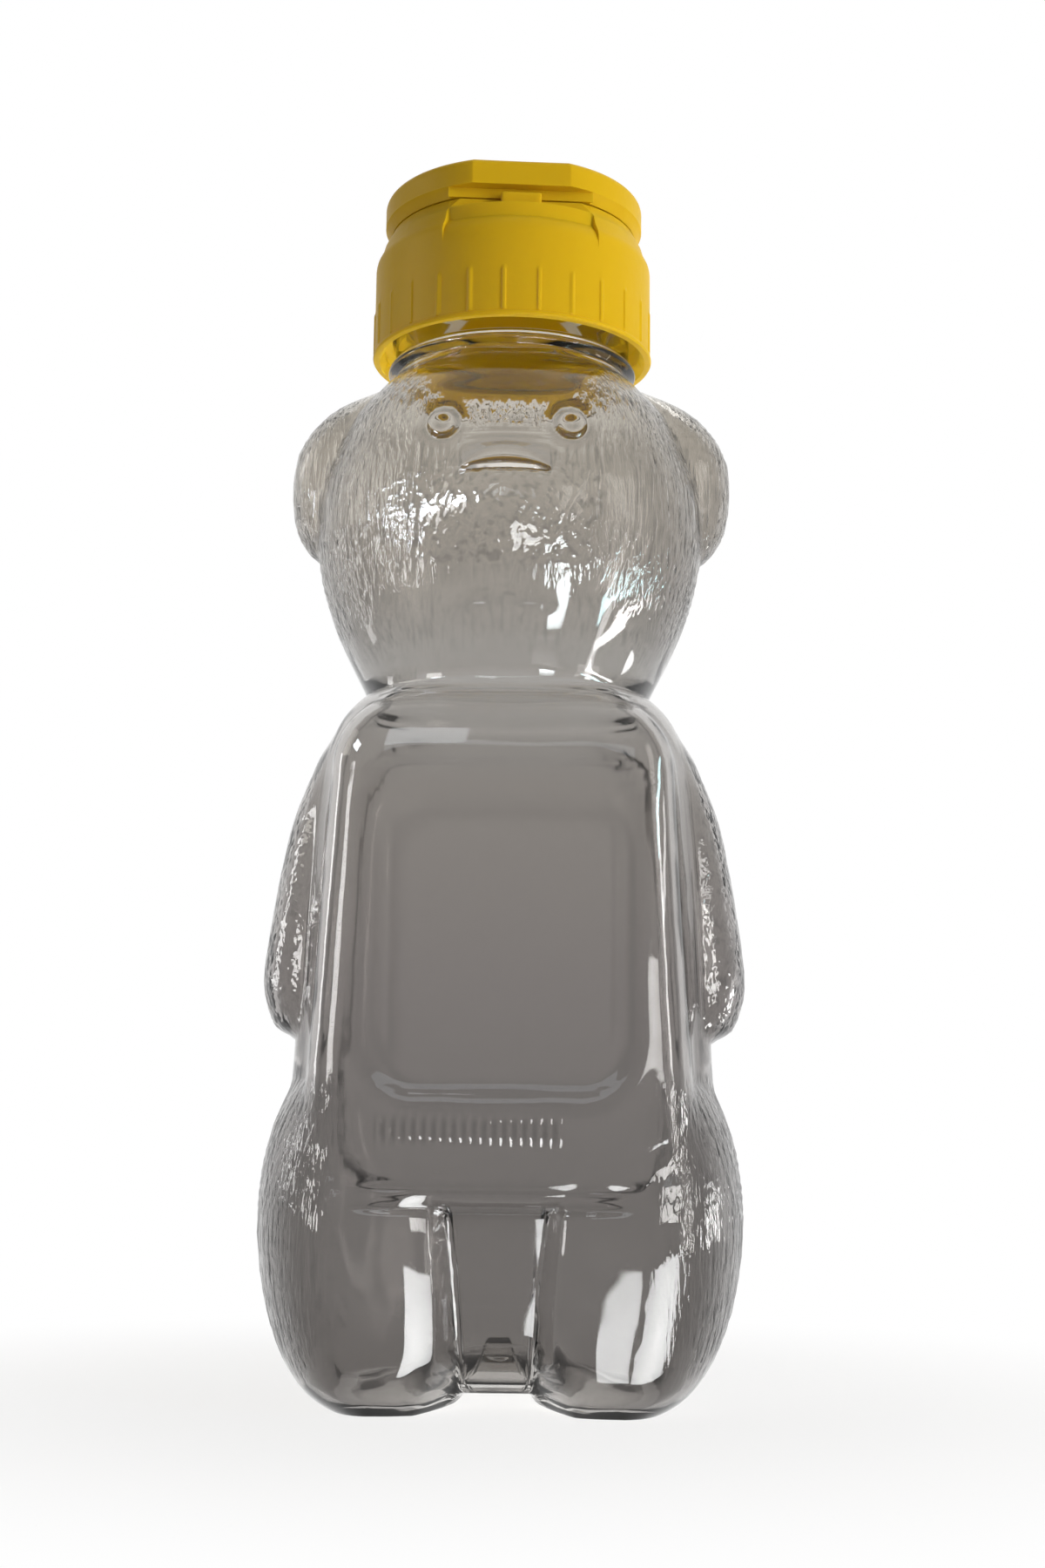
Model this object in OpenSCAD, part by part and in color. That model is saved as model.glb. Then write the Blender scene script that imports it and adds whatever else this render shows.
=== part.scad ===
// Squeeze bottle in the form of a sitting bear, with a screw-on flip-top closure.
// Millimetres, +Z up. The origin is the middle of the standing face and the bear faces -Y.

/* [Torso] */
// Height of the crease between torso and head above the floor
torso_h = 97.5; // [88:0.5:110]
// Width of the torso without its arms
torso_w = 59.2; // [56:0.2:62]
// Depth of the torso behind its front and back slabs
torso_d = 46; // [42:0.5:49]
// Width of the crease
crease_w = 40.8; // [38:0.2:44]
// Depth of the crease
crease_d = 40.6; // [38:0.2:45]
// Full depth, from the shins to the rump
body_d = 55.2; // [53:0.2:58]

/* [Front and back slabs] */
// Width of the raised front and back slabs at their foot
slab_w = 52.6; // [48:0.2:55]
// Width of the slabs near their top
slab_top_w = 47; // [42:0.2:50]
// Depth over the two slabs
slab_d = 52.6; // [50:0.2:53]
// Height of the slabs' lower edge above the floor
slab_low = 26.5; // [24:0.5:30]
// Corner radius at the foot of the slabs
slab_round = 12; // [6:0.5:14]
// Width of the sunk label field
field_w = 40; // [30:0.5:42]
// Height of the field's lower edge above the floor
field_low = 39.5; // [36:0.5:44]
// Height of the field's upper edge above the floor
field_high = 87; // [75:0.5:88]
// Depth of the label field
field_sink = 0.9; // [0.3:0.1:1.1]
// Corner radius of the label field
field_round = 9; // [5:0.5:12]

/* [Limbs and ears] */
// Width over the two legs
leg_span = 66.8; // [64:0.2:70]
// Height at which the legs leave the torso
leg_h = 43; // [40:0.5:46]
// Gap between the two feet at the floor
foot_gap = 10; // [7:0.5:14]
// Lift of the edge between the feet above the floor
foot_lift = 2.2; // [0:0.1:3]
// Width over the two arms
arm_span = 68.4; // [65:0.2:72]
// Thickness of an arm from front to back
arm_t = 18; // [14:0.5:22]
// Height of the paws' lower end above the floor
arm_low = 48; // [46:0.5:54]
// Width over the two ears
ear_span = 64.9; // [61:0.2:68]
// Thickness of an ear from front to back
ear_t = 12; // [8:0.5:14]
// Height of the ears' lower end above the crease
ear_low = 21; // [17:0.5:25]

/* [Head] */
// Height of the head from the crease to the neck
head_h = 48.5; // [44:0.5:54]
// Width of the head without its ears
head_w = 56.4; // [52:0.2:60]
// Reach of the face in front of the axis, without the snout
face_reach = 24.4; // [22:0.2:26]
// Reach of the back of the head behind the axis
nape_reach = 25.6; // [23:0.2:27]
// Reach of the snout in front of the axis
snout_reach = 27.2; // [25.5:0.1:27.6]
// Width of the snout
snout_w = 25; // [20:0.5:30]
// Height of the snout's middle above the crease
snout_z = 24.5; // [21:0.5:28]
// Distance between the eyes
eye_gap = 17.8; // [14:0.2:22]
// Height of the eyes above the crease
eye_z = 36; // [33:0.5:39]
// Diameter of an eye
eye_d = 4.3; // [3:0.1:5.5]
// Width of the nose
nose_w = 12.2; // [8:0.2:14]
// Height of the nose
nose_h = 7.2; // [5:0.1:8]

/* [Walls] */
// Thickness of the blown wall
wall = 0.9; // [0.8:0.05:1.2]
// Height of the push-up under the base
push_up = 5; // [3:0.5:8]

/* [Neck finish] */
// Height of the neck from the head to its top face
neck_h = 14.5; // [13.5:0.1:18]
// Outer diameter of the neck wall
neck_d = 34.8; // [34.4:0.1:35.2]
// Wall of the neck
neck_wall = 1.5; // [1.3:0.1:2]
// Height of a thread ridge over the neck wall
thread_h = 1.2; // [0.9:0.05:1.3]
// Rise of the thread in one turn
pitch = 4.233; // [3.8:0.001:5]
// Turns of thread on the neck and in the closure
thread_turns = 1.25; // [1:0.05:1.3]
// Height of the transfer bead over the neck wall
bead_h = 1.35; // [0.6:0.05:1.5]

/* [Closure] */
// Wall of the skirt behind its thread
skirt_wall = 1.5; // [1.4:0.05:2.2]
// Height of the closure's base from rim to deck
base_h = 18.9; // [18.6:0.1:22]
// Distance from the top of the neck down to the closure's rim
rim_drop = 11; // [10.5:0.1:12]
// Wall of the closure
cap_wall = 1.3; // [1.1:0.05:1.5]
// Thickness of the sealing ring
liner_t = 1; // [0.6:0.1:1.5]
// Step in from the skirt to the lid
lid_step = 1.3; // [0.6:0.05:1.5]
// Height of the lid
lid_h = 5.35; // [5:0.05:6.5]
// Diameter of the pouring hole
hole_d = 6.2; // [5:0.1:8]
// Number of grip ribs round the skirt
rib_count = 26; // [18:1:36]
// Height of the grip ribs
rib_h = 6; // [4:0.5:10]
// Turn of the closure on the neck at rest
cap_yaw = 5; // [0:1:20]

/* [Hinge and thumb recess] */
// Width of the hinge blocks
hinge_w = 14; // [10:0.5:16]
// Thickness of the hinge film
film_t = 0.4; // [0.3:0.05:0.5]
// Height of the hinge film between its blocks
film_h = 0.8; // [0.6:0.1:1]
// Depth of the flat cut on the front of the visor
visor_cut = 1.05; // [0.4:0.05:1.4]
// Width of the thumb recess
recess_w = 20.8; // [16:0.2:22]
// Depth of the thumb recess, in from the lid's side
recess_cut = 3.15; // [2.5:0.05:3.6]
// Height of the visor
visor_h = 3.9; // [3.4:0.1:4.2]
// Width of the thumb tab
tab_w = 5.8; // [4:0.2:8]

/* [Hidden] */
$fn = 96;

head_top = torso_h + head_h;
land_z = head_top + neck_h;
neck_r = neck_d / 2;
bore_r = neck_r - neck_wall;
crest_r = neck_r + thread_h;
thread_gap = 0.45;
skirt_r = crest_r + thread_gap;
cap_r = skirt_r + skirt_wall;
rim_z = land_z - rim_drop;
deck_z = rim_z + base_h;
parting = 0.25;
lid_z = deck_z + parting;
lid_top = lid_z + lid_h;
lid_r = cap_r - lid_step;
visor_reach = lid_r - visor_cut;
recess_reach = lid_r - recess_cut;
hinge_y = cap_r - 0.45;
hinge_z = deck_z + parting / 2;
snap_gap = 0.3;
spout_h = 3.1;
groove_r = lid_r - 0.95;

// Points in each ring of the shell
around = 60;

// Heights of the rings: outside, and fewer inside where the wall runs straight
function steps(from, to, count) = [for (i = [0 : count - 1]) from + (to - from) * i / count];
leg_mid = slab_low - 1.5;
shoulder_z = torso_h - 12;
ear_z = torso_h + ear_low;
crown_z = head_top - 5;
function heights(counts) = concat(
    steps(leg_mid, slab_low + 2, 3),
    steps(slab_low + 2, slab_low + slab_round, 5),
    steps(slab_low + slab_round, leg_h, counts[0]),
    [leg_h],
    steps(arm_low - 1, arm_low + 5, 4),
    steps(arm_low + 5, shoulder_z, counts[1]),
    steps(shoulder_z, torso_h, 5),
    steps(torso_h, ear_z, counts[2]),
    steps(ear_z, crown_z, counts[3]),
    steps(crown_z, head_top, 4)
);
outer_z = concat([for (i = [0 : 7]) leg_mid * (1 - cos(i * 11.5))], heights([2, 5, 6, 7]), [head_top]);
inner_z = concat([for (i = [1 : 7]) leg_mid * (1 - cos(i * 11.5))], heights([1, 3, 5, 6]));

// Smooth curve through points [x, y], held level past its ends
function slope(p, i) =
    let (a = max(i - 1, 0), b = min(i + 1, len(p) - 1)) (p[b][1] - p[a][1]) / (p[b][0] - p[a][0]);
function span(p, x) = max([for (i = [0 : len(p) - 2]) x >= p[i][0] ? i : 0]);
function hermite(t, y0, m0, y1, m1) =
    (2 * t ^ 3 - 3 * t ^ 2 + 1) * y0 + (t ^ 3 - 2 * t ^ 2 + t) * m0
    + (3 * t ^ 2 - 2 * t ^ 3) * y1 + (t ^ 3 - t ^ 2) * m1;
function curve(p, x) =
    let (
        q = min(max(x, p[0][0]), p[len(p) - 1][0]),
        i = span(p, q),
        w = p[i + 1][0] - p[i][0]
    )
    hermite((q - p[i][0]) / w, p[i][1], slope(p, i) * w, p[i + 1][1], slope(p, i + 1) * w);

function mix(a, b, t) = a + (b - a) * t;
function eased(t) = let (q = min(max(t, 0), 1)) q * q * (3 - 2 * q);
// Larger of two radii, with a fillet of about k where they meet
function fillet_max(a, b, k) = let (h = max(k - abs(a - b), 0) / k) max(a, b) + h * h * k / 4;
// Inset at depth v under the start of an elliptic rounding of reach x and height y
function round_in(v, x, y) = v <= 0 ? 0 : x * (1 - sqrt(max(1 - (v / y) ^ 2, 0)));

// Radius along direction [c, s] of a squared ellipse with half axes a and b
function boxy(a, b, n, c, s) = 1 / ((abs(c) / a) ^ n + (abs(s) / b) ^ n) ^ (1 / n);
// Far side of an ellipse centred at [x, y] with half axes a and b, along [c, s]
function lobe(x, y, a, b, c, s) =
    let (
        p = (c / a) ^ 2 + (s / b) ^ 2,
        q = c * x / a ^ 2 + s * y / b ^ 2,
        d = q ^ 2 - p * ((x / a) ^ 2 + (y / b) ^ 2 - 1)
    )
    (q + sign(d) * sqrt(abs(d))) / p;

// Share of the way from crease to torso, from crease to cheeks, and from neck to cheeks
torso_share = [[0.45, 1], [0.77, 0.81], [0.9, 0.64], [0.95, 0.46], [0.98, 0.25], [1, 0]];
cheek_share = [[0, 0], [0.06, 0.04], [0.3, 0.39], [0.52, 0.66], [0.75, 0.86], [1, 1]];
crown_share = [[0, 1], [0.25, 0.97], [0.47, 0.83], [0.74, 0.55], [0.89, 0.25], [1, 0]];
cheek_at = 0.47;

// Half axes of the head at height z: across, and towards the face or the nape
function head_axis(z, crease, full) =
    let (f = (z - torso_h) / head_h)
    f < cheek_at ? mix(crease, full, curve(cheek_share, f / cheek_at))
    : mix(neck_r - 0.25, full, curve(crown_share, (f - cheek_at) / (1 - cheek_at)));
function head_r(z, c, s) =
    boxy(head_axis(z, crease_w / 2, head_w / 2),
         head_axis(z, crease_d / 2, s < 0 ? face_reach : nape_reach), 2.15, c, s);
snout_h = 10;
snout_depth = 13.5;
function snout_r(z, c, s) =
    let (k = sqrt(max(1 - ((z - torso_h - snout_z) / snout_h) ^ 2, 0.0001)))
    s >= 0 ? 0 : lobe(0, snout_depth - snout_reach, snout_w / 2 * k, snout_depth * k, c, s);
ear_reach = [[0, 0.78], [0.05, 0.89], [0.13, 0.948], [0.22, 0.98], [0.42, 1], [0.58, 0.987],
             [0.68, 0.954], [0.78, 0.893], [0.88, 0.783], [1, 0.53]];
ear_width = 7;
ear_back = 1.5;
function ear_r(z, c, s) =
    let (u = (z - ear_z) / (head_h - ear_low), x = ear_span / 2 * curve(ear_reach, u))
    u < 0 || u > 1 ? 0 : lobe(x - ear_width, ear_back, ear_width, ear_t / 2, abs(c), s);

// The torso: a rounded body, slabs in front and behind, a rump, two legs and two arms
base_in = 9;
function torso_axis(z, crease, full) =
    mix(crease, full, curve(torso_share, z / torso_h)) - round_in(leg_mid - z, base_in, leg_mid + 0.5);
function torso_r(z, c, s) =
    boxy(torso_axis(z, crease_w / 2, torso_w / 2), torso_axis(z, crease_d / 2, torso_d / 2), 2.6, c, s);
slab_top = torso_h - 2;
slab_edge = 3;
// Depth of the label field where the direction [c, s] meets the slab, eased over its edge
field_edge = 2.4;
function field(z, x) =
    let (
        mid = (field_low + field_high) / 2,
        qx = max(abs(x) - field_w / 2 + field_round, 0),
        qz = max(abs(z - mid) - (field_high - field_low) / 2 + field_round, 0)
    )
    field_sink * eased((field_round - norm([qx, qz])) / field_edge);
function slab_half(z) =
    mix(slab_w, slab_top_w, (z - field_low) / (field_high - field_low)) / 2
    - round_in(slab_low + slab_round - z, slab_round, slab_round + 0.1)
    - round_in(z - shoulder_z, 10, slab_top - shoulder_z + 0.1);
function slab_r(z, c, s) =
    let (
        b = slab_d / 2 - round_in(slab_low + slab_edge - z, slab_edge, slab_edge + 0.1)
            - round_in(z - shoulder_z, 6, slab_top - shoulder_z + 0.1),
        r = boxy(slab_half(z), b, 8, c, s)
    )
    z < slab_low || z > slab_top ? 0 : r - field(z, r * c) * (abs(s) > 0.6 ? 1 : 0) / max(abs(s), 0.6);
rump_h = 21;
rump_width = 24;
rump_depth = 17;
function rump_r(z, c, s) =
    let (k = sqrt(max(1 - ((z - leg_mid + 3) / rump_h) ^ 2, 0.0001)))
    s <= 0 ? 0 : lobe(0, body_d / 2 - rump_depth, rump_width * k, rump_depth * k, c, s);
leg_inner = [[0, 0], [0.25, 1], [0.45, 4], [0.7, 7], [1, 11]];
leg_front = [[0, 4.4], [0.07, 1.6], [0.19, 0.4], [0.35, 0], [0.58, 0.6], [0.8, 3], [1, 7]];
leg_back = [[0, 2], [0.12, 9], [0.35, 18], [0.6, 20], [1, 20]];
leg_in = 13.5;
thigh_in = 7.5;
function leg_r(z, c, s) =
    let (
        u = z / leg_h,
        out = leg_span / 2 - round_in(leg_mid - z, leg_in, leg_mid + 0.5)
            - round_in(z - leg_mid, thigh_in, leg_h - leg_mid + 1),
        inn = foot_gap / 2 + curve(leg_inner, u),
        front = curve(leg_front, u) - body_d / 2,
        back = curve(leg_back, u)
    )
    u > 1 ? 0 : lobe((out + inn) / 2, (front + back) / 2, (out - inn) / 2, (back - front) / 2, abs(c), s);
arm_reach = [[0, 0.74], [0.02, 0.85], [0.05, 0.935], [0.09, 0.968], [0.15, 0.994], [0.23, 1],
             [0.4, 0.971], [0.56, 0.936], [0.72, 0.889], [0.84, 0.827], [0.92, 0.778], [1, 0.68]];
arm_width = 7;
arm_top = torso_h - 4;
function arm_r(z, c, s) =
    let (u = (z - arm_low) / (arm_top - arm_low), x = arm_span / 2 * curve(arm_reach, u))
    u < 0 || u > 1 ? 0 : lobe(x - arm_width, -1, arm_width, arm_t / 2, abs(c), s);

// Radius of the bear at height z in the direction of angle a
function bear_r(z, a) =
    let (c = cos(a), s = sin(a))
    z > torso_h ? fillet_max(fillet_max(head_r(z, c, s), snout_r(z, c, s), 3), ear_r(z, c, s), 1.5)
    : fillet_max(
        fillet_max(fillet_max(torso_r(z, c, s), slab_r(z, c, s), 2), rump_r(z, c, s), 4),
        fillet_max(leg_r(z, c, s), arm_r(z, c, s), 0.5), 1.5);
// Inside, the wall follows the outside at its own thickness, measured across the slope
function inside_r(z, a) =
    let (
        r = bear_r(z, a),
        z0 = max(z - 1, 0.5),
        z1 = min(z + 1, head_top),
        rise = (bear_r(z1, a) - bear_r(z0, a)) / (z1 - z0),
        turn = (bear_r(z, a + 2) - bear_r(z, a - 2)) / (4 * PI / 180 * r)
    )
    r - wall * min(sqrt(1 + rise ^ 2 + turn ^ 2), 2);
// The edge between the feet stands clear of the floor
gap_angle = 26;
lift_h = 10;
function lift(z, a) = foot_lift * eased((gap_angle - abs(a - 270)) / 10) * eased(1 - z / lift_h);

angles = [for (i = [0 : around - 1]) 360 * i / around];
floor_t = wall * 1.3;
function ring(z, a, r) = [r * cos(a), r * sin(a), z + lift(z, a)];
function outer_ring(z) = [for (a = angles) ring(z, a, bear_r(z, a))];
function inner_ring(z) = [for (a = angles) ring(max(z, floor_t), a, inside_r(z, a))];
function flat_ring(z, share) = [for (a = angles) ring(z, a, share * bear_r(0, a))];
function round_ring(z, r) = [for (a = angles) [r * cos(a), r * sin(a), z]];

// Triangles between ring k and ring k + 1, and from a tip to the ring that starts at point first
function band(k) = [
    for (i = [0 : around - 1])
        let (a = k * around + i, b = k * around + (i + 1) % around)
        each [[a, b + around, b], [a, a + around, b + around]]
];
function fan(tip, first) = [for (i = [0 : around - 1]) [tip, first + i, first + (i + 1) % around]];
function turned(faces) = [for (f = faces) [f[0], f[2], f[1]]];

collar_h = 1.5;
collar_out = neck_r - 0.25;
collar_in = bore_r + 0.35;

// The blown shell: rings from the push-up out and up to a collar in the neck, then back down inside
module blown_shell() {
    rings = concat(
        [round_ring(push_up, 5), flat_ring(push_up * 0.55, 0.62), flat_ring(0, 0.86)],
        [for (z = outer_z) outer_ring(z)],
        [round_ring(head_top + collar_h, collar_out), round_ring(head_top + collar_h, collar_in)],
        [round_ring(head_top, collar_in)],
        [for (i = [len(inner_z) - 1 : -1 : 0]) inner_ring(inner_z[i])],
        [flat_ring(floor_t, 0.76), flat_ring(push_up * 0.55 + floor_t, 0.58)],
        [round_ring(push_up + floor_t, 5)]
    );
    tip = len(rings) * around;
    points = concat([for (r = rings) each r], [[0, 0, push_up], [0, 0, push_up + floor_t]]);
    faces = concat(
        [for (k = [0 : len(rings) - 2]) each band(k)],
        fan(tip, 0),
        turned(fan(tip + 1, tip - around))
    );
    polyhedron(points, faces, convexity = 8);
}

// A ridge wound round the axis: root inside its wall, crest eased down to the wall at both ends
module thread_ridge(root_r, wall_r, top_r, low_z) {
    per_turn = 36;
    count = round(per_turn * thread_turns);
    foot = 2;
    crown = 0.9;
    stations = [
        for (k = [0 : count])
            let (
                a = 360 * k / per_turn,
                z = low_z + pitch * k / per_turn,
                ease = eased(min(k, count - k) / 4),
                r = mix(wall_r, top_r, 0.12 + 0.88 * ease)
            )
            each [
                [root_r * cos(a), root_r * sin(a), z - foot / 2],
                [r * cos(a), r * sin(a), z - crown / 2],
                [r * cos(a), r * sin(a), z + crown / 2],
                [root_r * cos(a), root_r * sin(a), z + foot / 2]
            ]
    ];
    sides = [
        for (k = [0 : count - 1], i = [0 : 3])
            let (a = 4 * k + i, b = 4 * k + (i + 1) % 4)
            each [[a, a + 4, b + 4], [a, b + 4, b]]
    ];
    last = 4 * count;
    ends = [[0, 1, 2], [0, 2, 3], [last, last + 2, last + 1], [last, last + 3, last + 2]];
    faces = concat(sides, ends);
    polyhedron(stations, root_r < top_r ? turned(faces) : faces, convexity = 6);
}

thread_low = land_z - 2.8 - pitch * thread_turns;
bead_r = neck_r + bead_h;
bead_z = rim_z - 2.7;
module neck() {
    edge = 0.4;
    rotate_extrude()
        polygon([
            [bore_r, head_top - 0.5],
            [neck_r, head_top - 0.5],
            [neck_r, bead_z],
            [bead_r - 0.3, bead_z + 0.3],
            [bead_r, bead_z + 0.7],
            [bead_r - 0.3, bead_z + 1.1],
            [neck_r, bead_z + 1.5],
            [neck_r, land_z - edge],
            [neck_r - edge, land_z],
            [bore_r, land_z]
        ]);
    thread_ridge(neck_r - 0.4, neck_r, crest_r, thread_low);
}

function unit(v) = v / norm(v);
function skin(x, z) =
    let (a = 270 + asin(x / face_reach), r = bear_r(z, a)) [r * cos(a), r * sin(a), z];
function outward(x, z) =
    unit(cross(skin(x + 0.5, z) - skin(x - 0.5, z), skin(x, z + 0.5) - skin(x, z - 0.5)));
// A round boss standing on the skin at [x, z]
module eye(x) {
    z = torso_h + eye_z;
    n = outward(x, z);
    r = eye_d / 2;
    root = wall * 0.6;
    translate(skin(x, z))
        rotate([0, acos(n[2]), atan2(n[1], n[0])])
            translate([0, 0, -root])
                rotate_extrude($fn = 32)
                    polygon([[0, 0], [r, 0], [r, root + 0.35], [r * 0.62, root + 0.7], [0, root + 0.8]]);
}
// A wide boss, leaning back with the snout's skin and bent round it
nose_up = 7.2;
module nose() {
    z = torso_h + snout_z + nose_up;
    bend = 11.5;
    rise = 0.8;
    corner = 2.4;
    translate(skin(0, z))
        rotate([-asin(outward(0, z)[2]), 0, 0])
            intersection() {
                translate([0, bend, -nose_h])
                    difference() {
                        cylinder(r = bend + rise, h = 2 * nose_h);
                        translate([0, 0, -1]) cylinder(r = bend - wall * 0.6, h = 2 * nose_h + 2);
                    }
                rotate([90, 0, 0])
                    linear_extrude(2 * bend, center = true) {
                        for (side = [-1, 1], end = [-1, 1])
                            translate([side * (nose_w / 2 - corner), end * (nose_h / 2 - corner)])
                                circle(corner, $fn = 32);
                        square([nose_w, nose_h - 2 * corner], center = true);
                        square([nose_w - 2 * corner, nose_h], center = true);
                    }
            }
}

module bottle() {
    color([0.78, 0.77, 0.74, 0.45]) {
        union() {
            blown_shell();
            neck();
            eye(eye_gap / 2);
            eye(-eye_gap / 2);
            nose();
        }
    }
}

seal_out = skirt_r - snap_gap;
module seal_ring() {
    color("ivory")
        translate([0, 0, land_z])
            difference() {
                cylinder(r = seal_out, h = liner_t);
                translate([0, 0, -1]) cylinder(r = bore_r, h = liner_t + 2);
            }
}

// Points on a quarter circle of radius r about [x, z], from level up
function quarter(x, z, r, count) =
    [for (i = [0 : count]) let (q = 90 * i / count) [x + r * cos(q), z + r * sin(q)]];

module grip_rib() {
    rib_w = 1;
    rib_out = 0.16;
    translate([cap_r - 0.5, -rib_w / 2, rim_z + 1])
        cube([0.5 + rib_out, rib_w, rib_h]);
}

// Everything in front of the recess wall and between its cheeks
module recess_space(low, high) {
    translate([-recess_w / 2, -cap_r - 2, low])
        cube([recess_w, cap_r + 2 - recess_reach, high - low]);
}

// The thumb ramp falls in front of the recess wall, in the shoulder's cone
plate_t = cap_wall + 0.1;
shoulder_h = 4.2;
ramp_rise = 0.8;
ramp_top = 1;
function ramp_z(r) = deck_z - ramp_top - ramp_rise * (r - recess_reach);
module base_outside() {
    bead = 0.25;
    rotate_extrude()
        polygon(concat(
            [[0, rim_z], [cap_r - 0.8, rim_z], [cap_r + bead, rim_z + 0.3], [cap_r, rim_z + 0.8]],
            [[cap_r, deck_z - shoulder_h - 0.7], [cap_r - 0.35, deck_z - shoulder_h + 0.25]],
            [[groove_r, deck_z], [0, deck_z]]
        ));
    for (i = [0 : rib_count - 1]) rotate(360 * i / rib_count) grip_rib();
    translate([-hinge_w / 2, bore_r, deck_z - 4])
        cube([hinge_w, hinge_y - bore_r, hinge_z - film_h / 2 - deck_z + 4]);
}

// Under the deck: the threaded skirt, and a ring wall that presses the seal on the neck
module base_inside() {
    plate_z = deck_z - plate_t;
    seat_z = land_z + liner_t;
    ring_in = bore_r + 0.1;
    ring_out = neck_r + 0.1;
    under_ramp = 1.5;
    translate([0, 0, rim_z - 1]) cylinder(r = skirt_r, h = seat_z - rim_z + 1);
    rotate_extrude()
        polygon([
            [ring_out, seat_z - 0.1],
            [skirt_r, seat_z - 0.1],
            [skirt_r, ramp_z(skirt_r) - under_ramp],
            [ring_out, ramp_z(ring_out) - under_ramp]
        ]);
    rotate_extrude()
        polygon([
            [0, land_z],
            [ring_in, land_z],
            [ring_in, plate_z - 1],
            [ring_in - 1, plate_z],
            [0, plate_z]
        ]);
}

// A ramp for the thumb up the front of the shoulder, as far as the recess wall
module thumb_ramp() {
    intersection() {
        recess_space(deck_z - 7, deck_z + 1);
        rotate_extrude()
            polygon([
                [recess_reach - 1, ramp_z(recess_reach - 1)],
                [cap_r - 1, ramp_z(cap_r - 1)],
                [cap_r + 0.1, ramp_z(cap_r - 1) - 2],
                [cap_r + 4, ramp_z(cap_r - 1) - 2],
                [cap_r + 4, deck_z + 2],
                [recess_reach - 1, deck_z + 2]
            ]);
    }
}

module closure_base() {
    hole_r = hole_d / 2;
    color([0.85, 0.64, 0.07])
        union() {
            rotate(cap_yaw)
                difference() {
                    union() {
                        base_outside();
                        translate([0, 0, deck_z - 0.5])
                            rotate_extrude()
                                polygon([
                                    [0, 0],
                                    [hole_r + 3, 0],
                                    [hole_r + 3, 0.5],
                                    [hole_r + 1.5, spout_h + 0.1],
                                    [hole_r + 1, spout_h + 0.5],
                                    [0, spout_h + 0.5]
                                ]);
                    }
                    base_inside();
                    translate([0, 0, deck_z - 5]) cylinder(r = hole_r, h = spout_h + 10);
                    thumb_ramp();
                }
            thread_ridge(skirt_r + 0.3, skirt_r, skirt_r - thread_h + 0.05, thread_low - pitch / 2);
        }
}

module hinge_film() {
    film_w = hinge_w - 2;
    color([0.85, 0.64, 0.07])
        rotate(cap_yaw)
            translate([-film_w / 2, hinge_y - film_t, hinge_z - film_h / 2])
                cube([film_w, film_t, film_h]);
}

// The tab stands out from the lid's recess wall and hangs down in front of the base, clear of the ramp
recess_top = lid_top - visor_h;
module thumb_tab() {
    front = visor_reach - 0.5;
    back = recess_reach + snap_gap;
    ramp_gap = 0.8;
    translate([-tab_w / 2, 0, 0])
        rotate([90, 0, 90])
            linear_extrude(tab_w)
                polygon([
                    [-front, ramp_z(front) + ramp_gap],
                    [-back, ramp_z(back) + ramp_gap],
                    [-back, lid_z + 0.1],
                    [0.3 - recess_reach, lid_z + 0.1],
                    [0.3 - recess_reach, lid_z + 0.6],
                    [-front, lid_z + 0.3]
                ]);
}

module flip_lid() {
    edge = 1.5;
    inner_r = lid_r - cap_wall;
    plate_z = lid_top - cap_wall;
    plug_r = hole_d / 2 - snap_gap;
    plug_z = deck_z + spout_h - 1.3;
    color([0.9, 0.69, 0.08])
        rotate(cap_yaw) {
            difference() {
                union() {
                    rotate_extrude()
                        polygon(concat(
                            [[groove_r - 0.9, lid_z], [groove_r, lid_z]],
                            [[lid_r - 0.3, lid_z + 1.1], [lid_r, lid_z + 2.2]],
                            quarter(lid_r - edge, lid_top - edge, edge, 5),
                            [[0, lid_top], [0, plate_z], [inner_r - 0.6, plate_z], [inner_r, plate_z - 0.6]],
                            [[inner_r, lid_z + 1.2]]
                        ));
                    intersection() {
                        translate([-recess_w / 2 - 1.4, -recess_reach - 1.8, lid_z])
                            cube([recess_w + 2.8, 1.8 + cap_wall, lid_h - 0.5]);
                        translate([0, 0, lid_z]) cylinder(r = lid_r - 0.5, h = lid_h);
                    }
                    translate([-hinge_w / 2, inner_r - 0.6, hinge_z + film_h / 2])
                        cube([hinge_w, hinge_y - inner_r + 0.6, lid_top - edge - hinge_z - film_h / 2]);
                }
                recess_space(lid_z - 1, recess_top);
                translate([-lid_r, -lid_r - 5, lid_z - 1])
                    cube([2 * lid_r, 5 + lid_r - visor_reach, lid_h + 3]);
            }
            thumb_tab();
            translate([0, 0, plug_z])
                difference() {
                    cylinder(r = plug_r, h = plate_z - plug_z + 0.1);
                    translate([0, 0, -1]) cylinder(r = plug_r - 1, h = plate_z - plug_z + 1);
                }
        }
}

bottle();
seal_ring();
closure_base();
hinge_film();
flip_lid();
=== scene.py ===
import math
import bpy
import numpy as np
from mathutils import Matrix, Vector


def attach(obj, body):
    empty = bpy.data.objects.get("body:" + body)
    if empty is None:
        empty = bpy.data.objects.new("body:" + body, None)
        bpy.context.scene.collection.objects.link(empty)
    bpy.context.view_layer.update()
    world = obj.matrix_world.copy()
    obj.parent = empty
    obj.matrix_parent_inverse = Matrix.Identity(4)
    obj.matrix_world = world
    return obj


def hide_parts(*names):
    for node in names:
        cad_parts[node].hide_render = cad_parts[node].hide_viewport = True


# A clear blown squeeze bottle in the form of a sitting bear, with a yellow flip-top closure.
# Shapes are worked out in millimetres on grids of angle and height, and stored in metres.
# The bear faces -Y. Each grid's second index runs round the axis and its first along a profile.

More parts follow.
